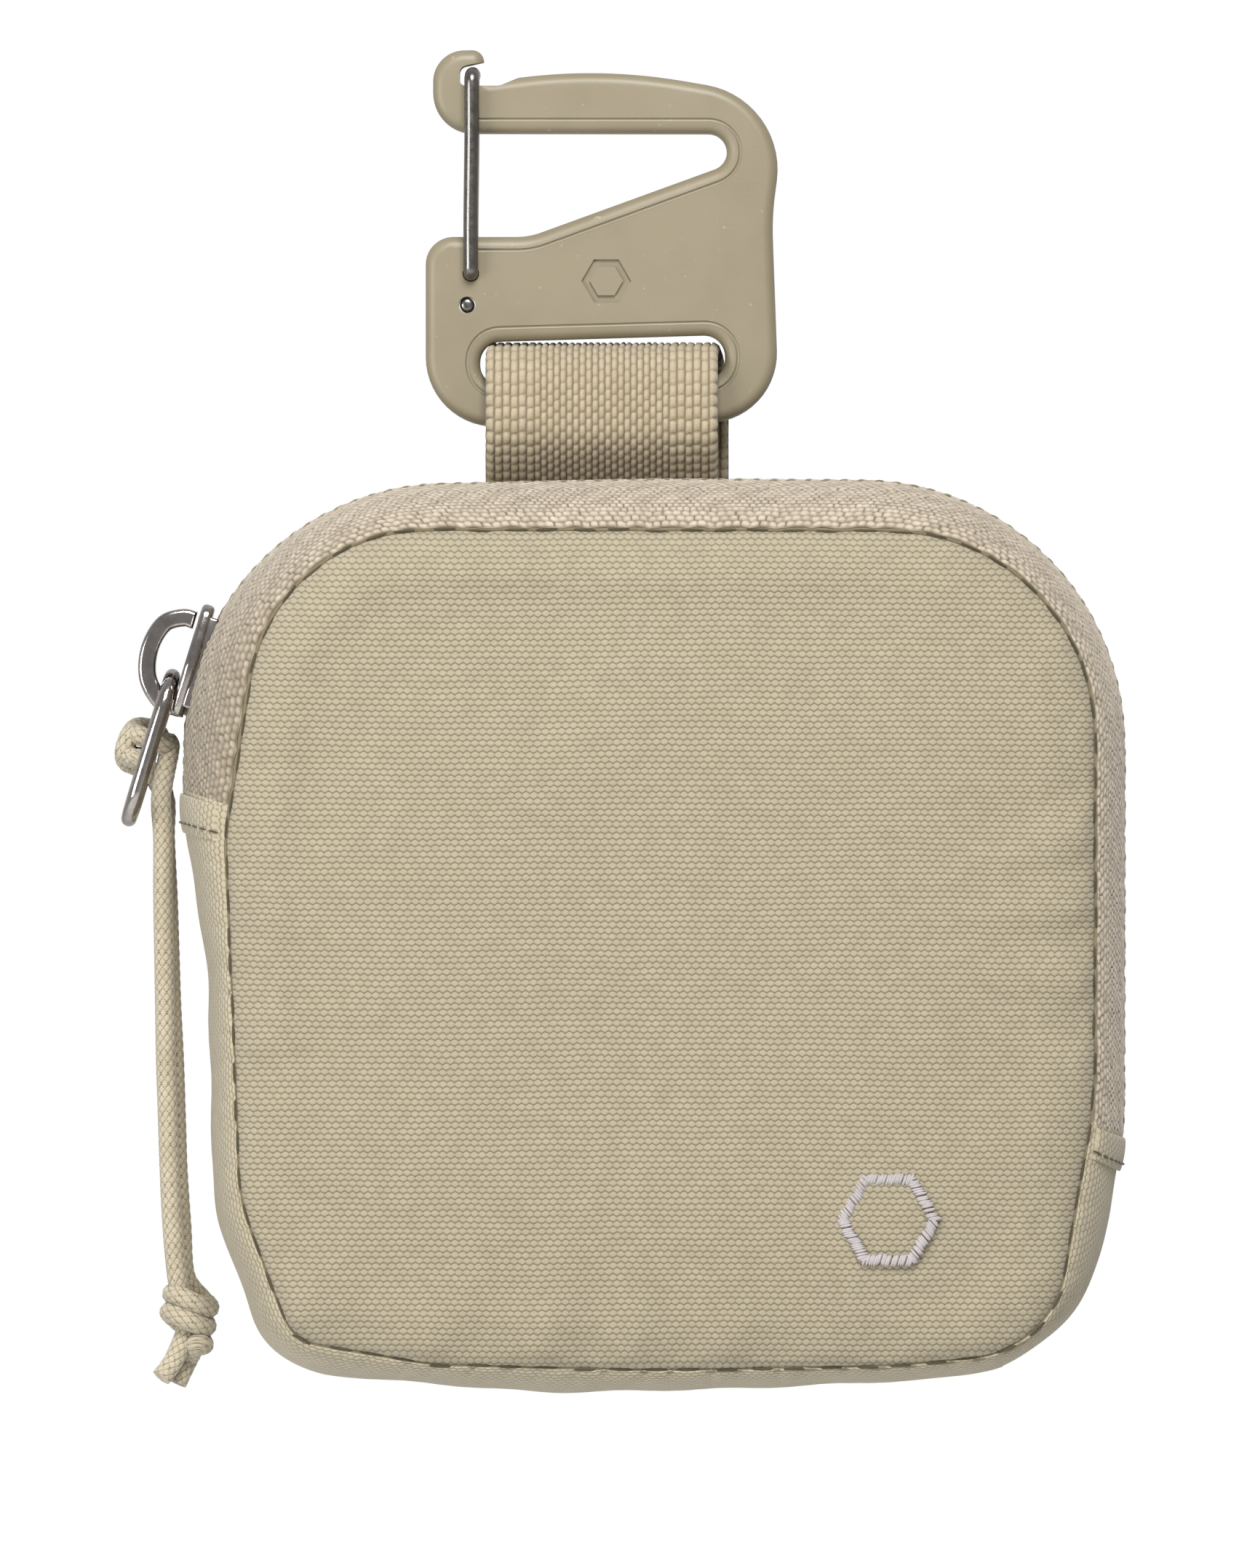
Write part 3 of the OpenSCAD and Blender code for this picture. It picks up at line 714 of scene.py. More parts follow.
def panel_points(pitch):
    """Points and triangles of the panel, with its edge exactly on the seam."""
    n = 420
    a = all_round(n)
    edge = np.stack(around(a, seam_radius(a)), axis=1)
    near = np.stack(around(a, seam_radius(a) - EDGE_STRIP), axis=1)
    xs = np.arange(-47, 48, pitch)
    zs = np.arange(2, 94, pitch)
    gx, gz = np.meshgrid(xs, zs)
    inner = np.stack([gx.ravel(), gz.ravel()], axis=1)
    d = inner - np.array(MIDDLE)
    inside = np.hypot(*d.T) < seam_radius(np.arctan2(d[:, 1], d[:, 0])) - EDGE_STRIP - pitch * 0.6
    pts = np.concatenate([edge, near, inner[inside]])
    rim = [(i, (i + 1) % n) for i in range(n)]
    out = geometry.delaunay_2d_cdt([Vector(p) for p in pts], rim, [], 1, 1e-5)
    return np.array([tuple(v) for v in out[0]]), [tuple(f) for f in out[2]]


def direction(x, z):
    return np.arctan2(z - MIDDLE[1], x - MIDDLE[0])


def seam_distance(x, z):
    """How far a point lies in from the seam."""
    return seam_radius(direction(x, z)) - np.hypot(x - MIDDLE[0], z - MIDDLE[1])


def crowned(name, pts, faces, fill):
    """How far each point stands out when the panel is sewn down at its edge and filled."""
    rest = np.stack([pts[:, 0], np.zeros(len(pts)), pts[:, 1]], axis=1)
    obj = mesh_object(name, rows(rest), faces)
    pins = obj.vertex_groups.new(name="sewn")
    edge = [int(i) for i in np.nonzero(seam_distance(*pts.T) < ON_SEAM)[0]]
    pins.add(edge, 1.0, "REPLACE")
    cloth = obj.modifiers.new("cloth", "CLOTH")
    settings = dict(
        quality=6, mass=0.2, tension_stiffness=30, compression_stiffness=30, shear_stiffness=10,
        bending_stiffness=2, use_pressure=True, uniform_pressure_force=fill,
        vertex_group_mass="sewn", shrink_min=-0.002)
    for key, value in settings.items():
        setattr(cloth.settings, key, value)
    cloth.settings.effector_weights.gravity = 0
    cloth.collision_settings.use_collision = False
    scene = bpy.context.scene
    scene.frame_start, scene.frame_end = 1, 24
    for f in range(1, 23):
        scene.frame_set(f)
    dg = bpy.context.evaluated_depsgraph_get()
    out = np.empty(len(obj.data.vertices) * 3)
    obj.evaluated_get(dg).data.vertices.foreach_get("co", out)
    scene.frame_set(1)
    bpy.data.objects.remove(obj)
    return np.abs(out.reshape(-1, 3)[:, 1] / MM)


def crown_by_rule(d, height):
    return height * (1 - np.exp(-np.maximum(d, 0) / CROWN_RUN))


def rolled(x, z, d):
    """Height gained in the first millimetres from the seam, with a soft roll top and left."""
    t = np.clip(d / 0.9, 0, 1)
    rise = 0.7 * np.sqrt(np.clip(1 - (1 - t) ** 2, 0, 1)) + 1.4 * (1 - np.exp(-np.maximum(d, 0) / 2.6))
    a = np.degrees(direction(x, z)) % 360
    share = 0.25 + 0.75 * np.clip(np.minimum(a - 45, 215 - a) / 25, 0, 1)
    return rise + 0.9 * share * np.exp(-((d - 4.6) / 2.6) ** 2)


def pucker(x, z, d):
    a = np.degrees(direction(x, z))
    out = np.zeros_like(x)
    for at, width, length, depth in PUCKERS:
        off = (a - at + 180) % 360 - 180
        fade = np.exp(-np.maximum(d, 0) / length * 2.2)
        ridge, dip = np.exp(-(off / width) ** 2), np.exp(-((off - DIP_AT * width) / width) ** 2)
        out += PUCKER_GAIN * depth * fade * (ridge - DIP * dip)
    return out * np.clip(d / 1.5, 0, 1)


def panel(name, side, simulate, height):
    """side is -1 at the front and 1 at the back."""
    pts, faces = panel_points(1.25)
    x, z = pts[:, 0], pts[:, 1]
    d = seam_distance(x, z)
    crown = crown_by_rule(d, height)
    if simulate:
        puffed = crowned(name + "_cloth", pts, faces, 3.0)
        crown = puffed * (height / max(1e-6, np.percentile(puffed, 98)))
    out = rolled(x, z, d) + np.minimum(crown, height * 1.15) + pucker(x, z, d)
    near = HALF_DEPTH - EDGE_DROP
    n = len(pts)
    outer = np.stack([x, side * (near + out), z], axis=1)
    inner = np.stack([x, np.full(n, side * (near - 0.1)), z], axis=1)
    n_edge = np.nonzero(d < ON_SEAM)[0]
    order = n_edge[np.argsort(direction(x[n_edge], z[n_edge]))]
    all_faces = []
    for f in faces:
        front = f if side < 0 else f[::-1]
        all_faces.append(front)
        all_faces.append(tuple(n + k for k in front[::-1]))
    for i, a in enumerate(order):
        b = order[(i + 1) % len(order)]
        all_faces.append((int(a), int(n + a), int(n + b), int(b)))
    obj = mesh_object(name, rows(np.concatenate([outer, inner])), all_faces, None, fabric, sharp=70)
    facing_out(obj)
    m = obj.modifiers.new("smooth", "SUBSURF")
    m.levels = m.render_levels = 1
    applied(obj)
    obj.data.shade_smooth()
    return obj


FOLD_LEFT, FOLD_RIGHT = (-46.5, 62.0), (46.5, 26.0)
fold_dir = Vector((FOLD_RIGHT[0] - FOLD_LEFT[0], FOLD_RIGHT[1] - FOLD_LEFT[1])).normalized()
fold_up = Vector((-fold_dir.y, fold_dir.x))
fold_mid = Vector(((FOLD_LEFT[0] + FOLD_RIGHT[0]) / 2, (FOLD_LEFT[1] + FOLD_RIGHT[1]) / 2))


def bends_at_fold(obj):
    """Makes the piece's placement part of its mesh; nothing here bends it at the fold."""
    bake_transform(obj)


front_panel = panel("front_panel", -1, True, 1.7)
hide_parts("lower_panel", "flap_panel")
bends_at_fold(front_panel)

back = panel("rear_panel", 1, False, 0.5)
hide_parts("back_panel")
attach(back, "pouch")


# ---- padding, lining and binding


def fold_height(x, z):
    return (x - fold_mid.x) * fold_up.x + (z - fold_mid.y) * fold_up.y


def clipped(outline, keep_above, gap):
    """The part of a closed outline on one side of the fold line."""
    sign = 1 if keep_above else -1
    out = []
    for (x0, z0), (x1, z1) in zip(outline, outline[1:] + outline[:1]):
        d0, d1 = sign * fold_height(x0, z0) - gap, sign * fold_height(x1, z1) - gap
        if d0 >= 0:
            out.append((x0, z0))
        if (d0 >= 0) != (d1 >= 0):
            f = d0 / (d0 - d1)
            out.append((x0 + (x1 - x0) * f, z0 + (z1 - z0) * f))
    return out


def inset_outline(inset):
    a = all_round(240)
    return [(float(x), float(z)) for x, z in zip(*around(a, seam_radius(a) - inset))]


def layer(name, inset, near, far, half, material, slot, node_name, body, band=None):
    """A flat layer between two depths; half is None, "flap" or "lower"."""
    if band is None:
        outline = inset_outline(inset)
        if half:
            outline = clipped(outline, half == "flap", 0.6)
    else:
        ends = {None: (-pi, pi - 1e-3), "flap": (-0.42, 2.83), "lower": (2.87, 2 * pi - 0.46)}[half]
        a = np.linspace(*ends, 200)
        outline = list(zip(*around(a, seam_radius(a) - inset)))
        outline += list(zip(*around(a[::-1], seam_radius(a[::-1]) - inset - band)))
    obj = flat_piece(name, [outline], abs(far - near), 0.12, facing((near + far) / 2), material, 2)
    assign(obj, body, slot, node_name)


for prefix, half, body, side in (
    ("flap", "flap", "flap", -1), ("lower", "lower", "pouch", -1), ("back", None, "pouch", 1),
):
    layer(prefix + "_padding", 1.6, side * 11.1, side * 10.05, half, foam, "foam", prefix + "_foam", body)
    layer(prefix + "_inside", 1.4, side * 10, side * 9.6, half, lining, "lining", prefix + "_lining", body)
    layer(prefix + "_edging", 1.4, side * 9.55, side * 8.9, half, binding, "binding", prefix + "_binding", body, 3)


def pocket():
    """Slip pocket, its open edge standing a little off the lining."""
    low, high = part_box("card_pocket")
    x = np.linspace(low.x / MM, high.x / MM, 60)
    z = np.linspace(low.z / MM, high.z / MM, 40) + HANG_Z
    f = (z - z[0]) / (z[-1] - z[0])
    slack = 0.9 * f[:, None] ** 2 * np.sin(pi * (x - x[0]) / (x[-1] - x[0]))[None, :]
    slack += 0.12 * np.sin(x * 0.5)[None, :] * f[:, None]

    def sheet(y, rows_used=slice(None)):
        gx, gz = np.meshgrid(x, z[rows_used])
        return np.stack([gx, y - slack[rows_used], gz], axis=-1)
    uv = np.stack(np.meshgrid(x / 10, z / 10), axis=-1)
    obj = slab("pocket", sheet(8.6), sheet(9.1), uv, lining)
    assign(obj, "pouch", "lining", "card_pocket")
    top = slice(36, None)
    obj = slab("pocket_edge", sheet(8.15, top), sheet(8.58, top), uv[top], binding)
    assign(obj, "pouch", "binding", "pocket_hem")


pocket()


# ---- band round the pouch


# How far the band swells past the seams in the middle, and how squarely
SWELL = 4.6
BULGE_POWER = 0.55


def band_depths(n, side):
    """Depths from the seam to the middle at even steps over the bulging surface."""
    y = np.linspace(-HALF_DEPTH + 0.06, -0.05, 3000)
    r = SWELL * np.clip(1 - (y / HALF_DEPTH) ** 2, 0, 1) ** BULGE_POWER
    run = run_along(y, r)
    even = np.linspace(0, run[-1], n)
    return -side * np.interp(even, run, y), even


def band_grid(angles, depths, inset=0.0, lift=0.0, scallop=0.0, power=BULGE_POWER):
    """Points of the band, in columns along the outline and rows across it."""
    seam, mid = seam_radius(angles), outline_radius(angles)
    xs, zs = around(angles, mid)
    run = run_along(xs, zs)
    v = np.asarray(depths) / HALF_DEPTH
    f = np.clip(1 - v**2, 0, 1) ** power
    r = seam[None, :] + (mid - seam)[None, :] * f[:, None] - inset
    if scallop:
        edge = np.exp(-(1 - np.abs(v)) * 9)
        wave = np.abs(np.sin(run / STITCH_PITCH * pi + 0.4 * np.sin(run * 0.9))) ** 0.6
        r += scallop * edge[:, None] * (wave[None, :] - 0.8)
    x, z = around(angles[None, :], r + lift)
    y = np.broadcast_to(np.asarray(depths)[:, None], x.shape)
    fine = np.linspace(-HALF_DEPTH, HALF_DEPTH, 3000)
    bulge = SWELL * (1 - (fine / HALF_DEPTH) ** 2) ** power
    girth = run_along(fine, bulge)
    over = np.interp(depths, fine, girth)[:, None]
    uv = np.stack(np.broadcast_arrays(run[None, :] / 10, over / 10), axis=-1)
    return np.stack([x, y, z], axis=-1), uv, run


left_end = angle_at(ZIP_ENDS[0], False)
right_end = angle_at(ZIP_ENDS[1], True)


def thinned(depths, thickness):
    """Thickness of the band, tapering where it is turned under at the seams."""
    return thickness * np.clip((HALF_DEPTH - np.abs(depths)) / 1.6, 0.12, 1)[:, None]


def yarn_humps(run, across):
    """Coarse woven tape: long humps, staggered from row to row, coarser at the seam."""
    pitch_v = 0.58
    line = np.floor(across / pitch_v)
    pitch_u = np.where(line < 3, 1.06, np.where(line < 11, 0.8, 1.1))
    u = run / pitch_u + 0.5 * (line % 2)
    u = u + 0.16 * np.sin(line * 12.9898) + 0.08 * np.sin(run * 0.8 + line * 5.1)
    hu = np.abs(np.cos(pi * (u % 1 - 0.5))) ** 0.5
    hv = np.abs(np.cos(pi * ((across / pitch_v) % 1 - 0.5))) ** 0.5
    uneven = 0.82 + 0.18 * np.sin(run * 1.7 + line * 2.1) * np.sin(run * 0.37 + line)
    return hu * hv * uneven


def zip_band(name, side, body, node_name):
    angles = np.linspace(right_end, left_end, 840)
    depths, across = band_depths(96, side)
    run = band_grid(angles, depths)[2]
    humps = yarn_humps(run[None, :], across[:, None])
    outer, uv, _ = band_grid(angles, depths, 0, 0.3 * (humps - 0.5), 0.3)
    inner, _, _ = band_grid(angles, depths[::19], thinned(depths[::19], 0.75))
    # Painted shade: the tape darkens over its left end, beside the slider; the humps also paint shade into the gaps
    # between yarns.
    shade = 1 - 0.42 * np.clip((angles - radians(118)) / 0.6, 0, 1)[None, :]
    obj = slab(name, outer, inner, uv, tape, relief=humps * shade)
    assign(obj, body, "zip_tape", node_name)
    return obj


zip_band("zip_half_front", -1, "flap", "zip_tape_front")
zip_band("zip_half_back", 1, "pouch", "zip_tape_back")


def gusset():
    start, stop = left_end - 0.02, right_end + 2 * pi + 0.01
    angles = np.linspace(start, stop, 900)
    depths = HALF_DEPTH * np.sin(np.linspace(-1.5, 1.5, 56))

    run = band_grid(angles, depths)[2][None, :]
    y = depths[:, None]
    folds = 0.10 * np.sin(run * 0.55 + 0.6 * np.sin(y * 0.3)) * np.cos(y / HALF_DEPTH * 1.4)
    folds *= np.clip(np.minimum(run, run.max() - run) / 8, 0, 1)
    outer, uv, _ = band_grid(angles, depths, 0.0, folds, 0.3, 0.5)
    inner, _, _ = band_grid(angles, depths, thinned(depths, 0.8), power=0.5)
    obj = slab("gusset", outer, inner, uv, gusset_fabric_lit)
    assign(obj, "pouch", "pouch_fabric", "lower_gusset")
    near = np.linspace(-HALF_DEPTH + 3.2, HALF_DEPTH - 3.2, 24)
    outer, uv, _ = band_grid(angles[::4], near, 0.9, power=0.5)
    inner, _, _ = band_grid(angles[::4], near, 1.3, power=0.5)
    obj = slab("gusset_inside", outer, inner, uv, lining)
    assign(obj, "pouch", "lining", "gusset_lining")


gusset()


# ---- seam and zip stitches


def stitches(name, places, length, radius, material, body, blend=False):
    """Short threads, each from its middle, along its direction and standing on its normal."""
    verts, faces = [], []
    sides, rings = 6, 7
    for middle, along, out in places:
        middle, along, out = (np.asarray(v, float) for v in (middle, along, out))
        across = np.cross(along, out)
        base = len(verts)
        for i in range(rings):
            t = i / (rings - 1) * 2 - 1
            r = radius * sqrt(max(0.04, 1 - abs(t) ** 3))
            centre = middle + along * t * length / 2 - out * radius * 0.9 * t * t
            for k in range(sides):
                c = 2 * pi * k / sides
                verts.append(centre + r * (cos(c) * out + sin(c) * across))
        faces += [tuple(base + v for v in f) for f in grid_faces(rings, sides, True)]
        faces.append(tuple(base + k for k in range(sides - 1, -1, -1)))
        faces.append(tuple(base + (rings - 1) * sides + k for k in range(sides)))
    obj = mesh_object(name, rows(np.array(verts)), faces, None, material)
    if blend:
        bends_at_fold(obj)
    else:
        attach(obj, body)
    return obj


def tab(name, z_low, z_high, right, node_name):
    """Fabric folded over an end of the zip."""
    a, b = sorted((angle_at(z_low, right), angle_at(z_high, right)))
    angles = np.linspace(a, b, 24)
    depths = np.linspace(-HALF_DEPTH + 0.3, HALF_DEPTH - 0.3, 60)
    lip = 0.22 * np.clip(np.sin(np.linspace(0, pi, 24)), 0, 1) ** 0.4
    outer, uv, _ = band_grid(angles, depths, -0.3, lip[None, :])
    inner, _, _ = band_grid(angles, depths, -0.02)
    obj = slab(name, outer, inner, uv, gusset_fabric_lit)
    assign(obj, "pouch", "pouch_fabric", node_name)
    low = a + 0.25 * (b - a) if right else b - 0.25 * (b - a)
    depths, _ = band_depths(200, 1)
    line = band_grid(np.array([low, low + 1e-4]), depths, -0.62)[0][:, 0]
    places = []
    for side in (1, -1):
        for k in range(9, 190, 26):
            at, way = line[k] * (1, side, 1), (line[k + 4] - line[k - 4]) * (1, side, 1)
            out = np.array([cos(low), 0, sin(low)])
            way /= np.linalg.norm(way)
            out -= way * np.dot(out, way)
            places.append((at, way, out / np.linalg.norm(out)))
    # The tab's stitches take the crease's painted shade as their colour.
    stitches(name + "_thread", places, 1.3, 0.14, crease_shade_thread, "pouch")


tab("left_tab", ZIP_ENDS[0] - 3.6, ZIP_ENDS[0] + 0.6, False, "zip_tab_left")
tab("right_tab", ZIP_ENDS[1] - 3.3, ZIP_ENDS[1] + 0.3, True, "zip_tab_right")


def seam_run(a_from, a_to, radius_fn, y, pitch, inset=0.0):
    a = np.linspace(a_from, a_to, 4000)
    x, z = around(a, radius_fn(a) - inset)
    run = run_along(x, z)
    out = []
    for s in np.arange(pitch / 2, run[-1], pitch):
        px, pz = np.interp(s, run, x), np.interp(s, run, z)
        dx, dz = np.interp(s + 0.2, run, x) - px, np.interp(s + 0.2, run, z) - pz
        n = hypot(dx, dz) or 1
        out.append(((px, y, pz), (dx / n, 0, dz / n), (dz / n, 0, -dx / n)))
    return out


def facing_front(places, side):
    """The same stitches lying flat on the front or back, each a little out of line."""
    rng = np.random.default_rng(3)
    out = []
    for m, along, _ in places:
        slip, rise = rng.uniform(-0.5, 0.5), rng.uniform(-0.12, 0.12)
        m = (m[0] + along[0] * slip - along[2] * rise, m[1], m[2] + along[2] * slip + along[0] * rise)
        out.append((m, along, (0, side, 0)))
    return out


full = (-pi, pi)
# The seam stitches take the crease's painted shade as their colour.
for name, side, bends in (("seam_thread_front", -1, True), ("seam_thread_back", 1, False)):
    run = seam_run(*full, seam_radius, side * (HALF_DEPTH - 0.06), STITCH_PITCH, -0.02)
    stitches(name, facing_front(run, side), 3.1, 0.17, crease_shade_thread, "pouch", bends)


def seam_shade_line(name, side, body):
    """The sewn-down line in the crease between panel and band, as a dark tube: painted shade of the crease."""
    a = all_round(500)
    x, z = around(a, seam_radius(a) + 0.12)
    pts = np.stack([x, np.full(500, side * (HALF_DEPTH - 0.34)), z], axis=1)
    obj = loop_tube(name, pts, 0.3, ACROSS, thread, 8)
    if side < 0:
        bends_at_fold(obj)
    else:
        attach(obj, body)


seam_shade_line("seam_line_front", -1, None)
seam_shade_line("seam_line_back", 1, "pouch")


def zip_rows():
    front, rear = [], []
    for off, into in ((1.1, front), (2.5, front), (-1.1, rear), (-2.5, rear)):
        v = off / HALF_DEPTH
        lift = (1 - v * v) ** BULGE_POWER

        def radius_fn(a, lift=lift):
            return seam_radius(a) + (outline_radius(a) - seam_radius(a)) * lift + 0.06
        into += seam_run(right_end + 0.02, left_end - 0.02, radius_fn, -off, 1.9)
    stitches("zip_thread_front", front, 1.2, 0.1, dark_thread, "flap")
    stitches("zip_thread_back", rear, 1.2, 0.1, dark_thread, "pouch")


zip_rows()


# ---- zip coils, inside


def coil(name, side, body, node_name):
    a = np.linspace(right_end + 0.02, left_end - 0.02, 6000)
    mid = outline_radius(a) - 0.8 - 0.16 - 0.75
    x, z = around(a, mid)
    run = run_along(x, z)
    turns = run[-1] / 1.3
    steps = int(turns * 10)
    s = np.linspace(0, run[-1], steps)
    ang = np.interp(s, run, a)
    phase = s / run[-1] * turns * 2 * pi + (0 if side < 0 else pi)
    rad = np.interp(s, run, mid) + 0.42 * np.sin(phase)
    px, pz = around(ang, rad)
    py = side * (0.75 - 0.75 * np.cos(phase))
    path = np.stack([px, py, pz], axis=1)
    obj = tube(name, path, 0.27, coil_plastic, sides=5)
    assign(obj, body, "zip_coil", node_name)


coil("coil_front", -1, "flap", "zip_coil_front")
coil("coil_back", 1, "pouch", "zip_coil_back")


# ---- webbing


def webbing():
    y_in = PANEL_OUT + 0.05
    r = 3.7 + WEBBING_T / 2
    cz = 108.4
    arc = [(HOOK_Y - r * cos(t), cz + r * sin(t)) for t in np.linspace(0, pi, 13)]
    front_ply = [(y_in + 0.85, 82), (y_in + 0.85, 88), (y_in + 0.8, 93.4), (10.6, 96.7), (6.4, 100.4), (3.3, 104)]
    back_ply = [(HOOK_Y + r, 104), (13.9, 100.6), (y_in + 2.5, 96.8), (y_in + 2.57, 92), (y_in + 2.57, 88),
                (y_in + 2.57, 82)]
    pts = [(0, y, z) for y, z in front_ply + arc + back_ply]
    path = smooth_path(pts, 0.21)
    n = len(path)
    t = tangents(path)
    out = np.stack([np.zeros(n), -t[:, 2], t[:, 1]], axis=1)
    s = np.linspace(0, 1, n) * np.linalg.norm(np.diff(path, axis=0), axis=1).sum()
    width = WEBBING[1] - WEBBING[0]
    side_w, n_side, n_mid, line = 5.2, 6, 21, 1.27
    # Four steps to each yarn, so that every hump is sampled alike
    cells = np.arange(0, 2 * n_side + n_mid + 0.01, 0.25)
    zones = [0, n_side, n_side + n_mid, 2 * n_side + n_mid]
    w = np.interp(cells, zones, [0, side_w, width - side_w, width])
    middle = (cells > n_side) & (cells < n_side + n_mid)
    # The ply behind the hook lies a little to the right of the one in front
    skew = np.interp(s, [0, s[-1] * 0.5, s[-1] * 0.62, s[-1]], [0, 0, 1.2, 1.2])
    lines = s[:, None] / line + (np.where(middle, 0.5, 0.16) * (np.floor(cells) % 2))[None, :]
    across = np.abs(np.cos(pi * (cells % 1 - 0.5)))[None, :] ** np.where(middle, 0.6, 0.2)[None, :]
    along = np.abs(np.cos(pi * (lines % 1 - 0.5))) ** 0.5
    humps = across * along * (0.92 + 0.08 * np.sin(s[:, None] * 2.3 + w[None, :] * 1.9))
    edge = np.minimum(w, width - w)
    thick = WEBBING_T / 2 * np.clip(np.sqrt(np.clip(1 - (1 - edge / 0.7) ** 2, 0.12, 1)), 0.35, 1)
    thick = np.where(edge > 0.7, WEBBING_T / 2, thick)
    teeth = 0.22 * (along[:, :1] - 0.5) * np.sign(w - width / 2)[None, :] * (edge < 0.3)[None, :]
    base = np.broadcast_to(path[:, None], (n, len(w), 3)).copy()
    base[..., 0] = WEBBING[0] + w[None, :] + skew[:, None] + teeth
    grow = (thick[None, :] - 0.22 + 0.36 * humps)[..., None] * out[:, None]
    outer = base + grow
    inner = base - grow
    uv = np.stack(np.broadcast_arrays(w[None, :] / 10, s[:, None] / 10), axis=-1)
    # The humps also set the yarn's tone: painted shade in the gaps between yarns.
    obj = slab("webbing", outer, inner, uv, webbing_yarn, relief=humps, inner_relief=humps)
    assign(obj, "pouch", "webbing", "webbing_loop")


webbing()


def box_stitch():
    """Square with a cross, through the webbing's ends and the back panel."""
    cx, cz, hw, hh = cad_middle("webbing_stitching")
    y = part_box("webbing_stitching")[1].y / MM + 0.15
    corners = [(-hw, -hh), (hw, -hh), (hw, hh), (-hw, hh)]
    lines = [(corners[i], corners[(i + 1) % 4]) for i in range(4)]
    lines += [(corners[0], corners[2]), (corners[1], corners[3])]
    places = []
    for (x0, z0), (x1, z1) in lines:
        length = hypot(x1 - x0, z1 - z0)
        n = int(length / 1.5)
        along = ((x1 - x0) / length, 0, (z1 - z0) / length)
        for i in range(n):
            f = (i + 0.5) / n
            at = (cx + x0 + (x1 - x0) * f + 0.6, y, cz + z0 + (z1 - z0) * f)
            places.append((at, along, (0, 1, 0)))
    obj = stitches("webbing_thread", places, 1.25, 0.24, thread, "pouch")
    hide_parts("webbing_stitching")


box_stitch()


# ---- hook and gate

HOOK = [
    (-25, 104.6, 7.5), (13.4, 105.3, 7.5), (12.6, 127.5, 30), (14.3, 140.3, 9.3), (-6, 143.75, 60),
    (-18.6, 142.1, 0.8), (-18.7, 145.6, 1.3), (-24.2, 145.5, 3.4), (-24.2, 136.55, 4.4), (17.0, 136.5, 2.0),
    (-13.8, 125.3, 8), (-25, 125.3, 3),
]
HOOK_NOTCH = [(-21.3, 141.7, 0.6), (-17.0, 141.7, 1.5), (-14.5, 142.75, 0), (-14.5, 145.2, 0), (-21.3, 143.75, 0.8)]
MOUTH_GROOVE = [(-19.3, 138, 0), (25.5, 138, 3.5), (-13.5, 123.8, 9.5), (-19.3, 123.8, 0)]
SLOT = [(-19.1, 109.1, 2.3), (7.5, 109.8, 2.3), (7.5, 114.7, 2.3), (-19.1, 113.9, 2.3)]
SLOT_GROOVE = [(-20.5, 107.8, 3.6), (8.9, 108.5, 3.6), (8.9, 116.1, 3.6), (-20.5, 115.3, 3.6)]


MARK_AT, MARK_RADII = (-5.4, 120.5), (2.7, 1.8)
GROOVE_R = 0.21


def groove_cutter(points, closed, y):
    path = np.array([(x, y, z) for x, z in points])
    step = np.linalg.norm(np.diff(path, axis=0), axis=1)
    path = path[np.concatenate([[True], step > 0.02])]
    if closed:
        return loop_tube("groove", path, GROOVE_R, ACROSS, None, 8)
    return tube("groove", path, GROOVE_R, None, sides=8)


def hexagon(cx, cz, r):
    return [(cx + r * cos(radians(60 * k)), cz + r * sin(radians(60 * k))) for k in range(6)]


def hook():
    obj = flat_piece("hook", [rounded(HOOK, 14), rounded(SLOT, 10)], HOOK_T, 1.2, facing(HOOK_Y), plastic, 6)
    hole_r = WIRE_R + 0.1
    cutters = []
    for face in (-1, 1):
        y = HOOK_Y + face * HOOK_T / 2
        path = np.array([(PIVOT[0], y + face * 0.6, PIVOT[1]), (PIVOT[0], y - face * 2.4, PIVOT[1])])
        cutters.append(tube("hole", path, hole_r, None, sides=24))
        cutters.append(groove_cutter(rounded(MOUTH_GROOVE, 16), False, y))
        cutters.append(groove_cutter(rounded(SLOT_GROOVE, 8), True, y))
    path = np.array([(FOOT_AT[0], HOOK_Y + way, FOOT_AT[1]) for way in (-4, 4)])
    cutters.append(tube("hole", path, hole_r, None, sides=24))
    cutters.append(flat_piece("notch", [rounded(HOOK_NOTCH, 5)], HOOK_T + 2, 0.01, facing(HOOK_Y), None, 0))
    y = HOOK_Y - HOOK_T / 2
    ring = [hexagon(*MARK_AT, r) for r in MARK_RADII]
    cutters.append(flat_piece("badge", ring, 0.7, 0.01, facing(y), None, 0))
    cut(obj, *cutters)
    obj.data.materials.clear()
    obj.data.materials.append(plastic)
    assign(obj, "hook", "hook_plastic", "hook_body")


hook()


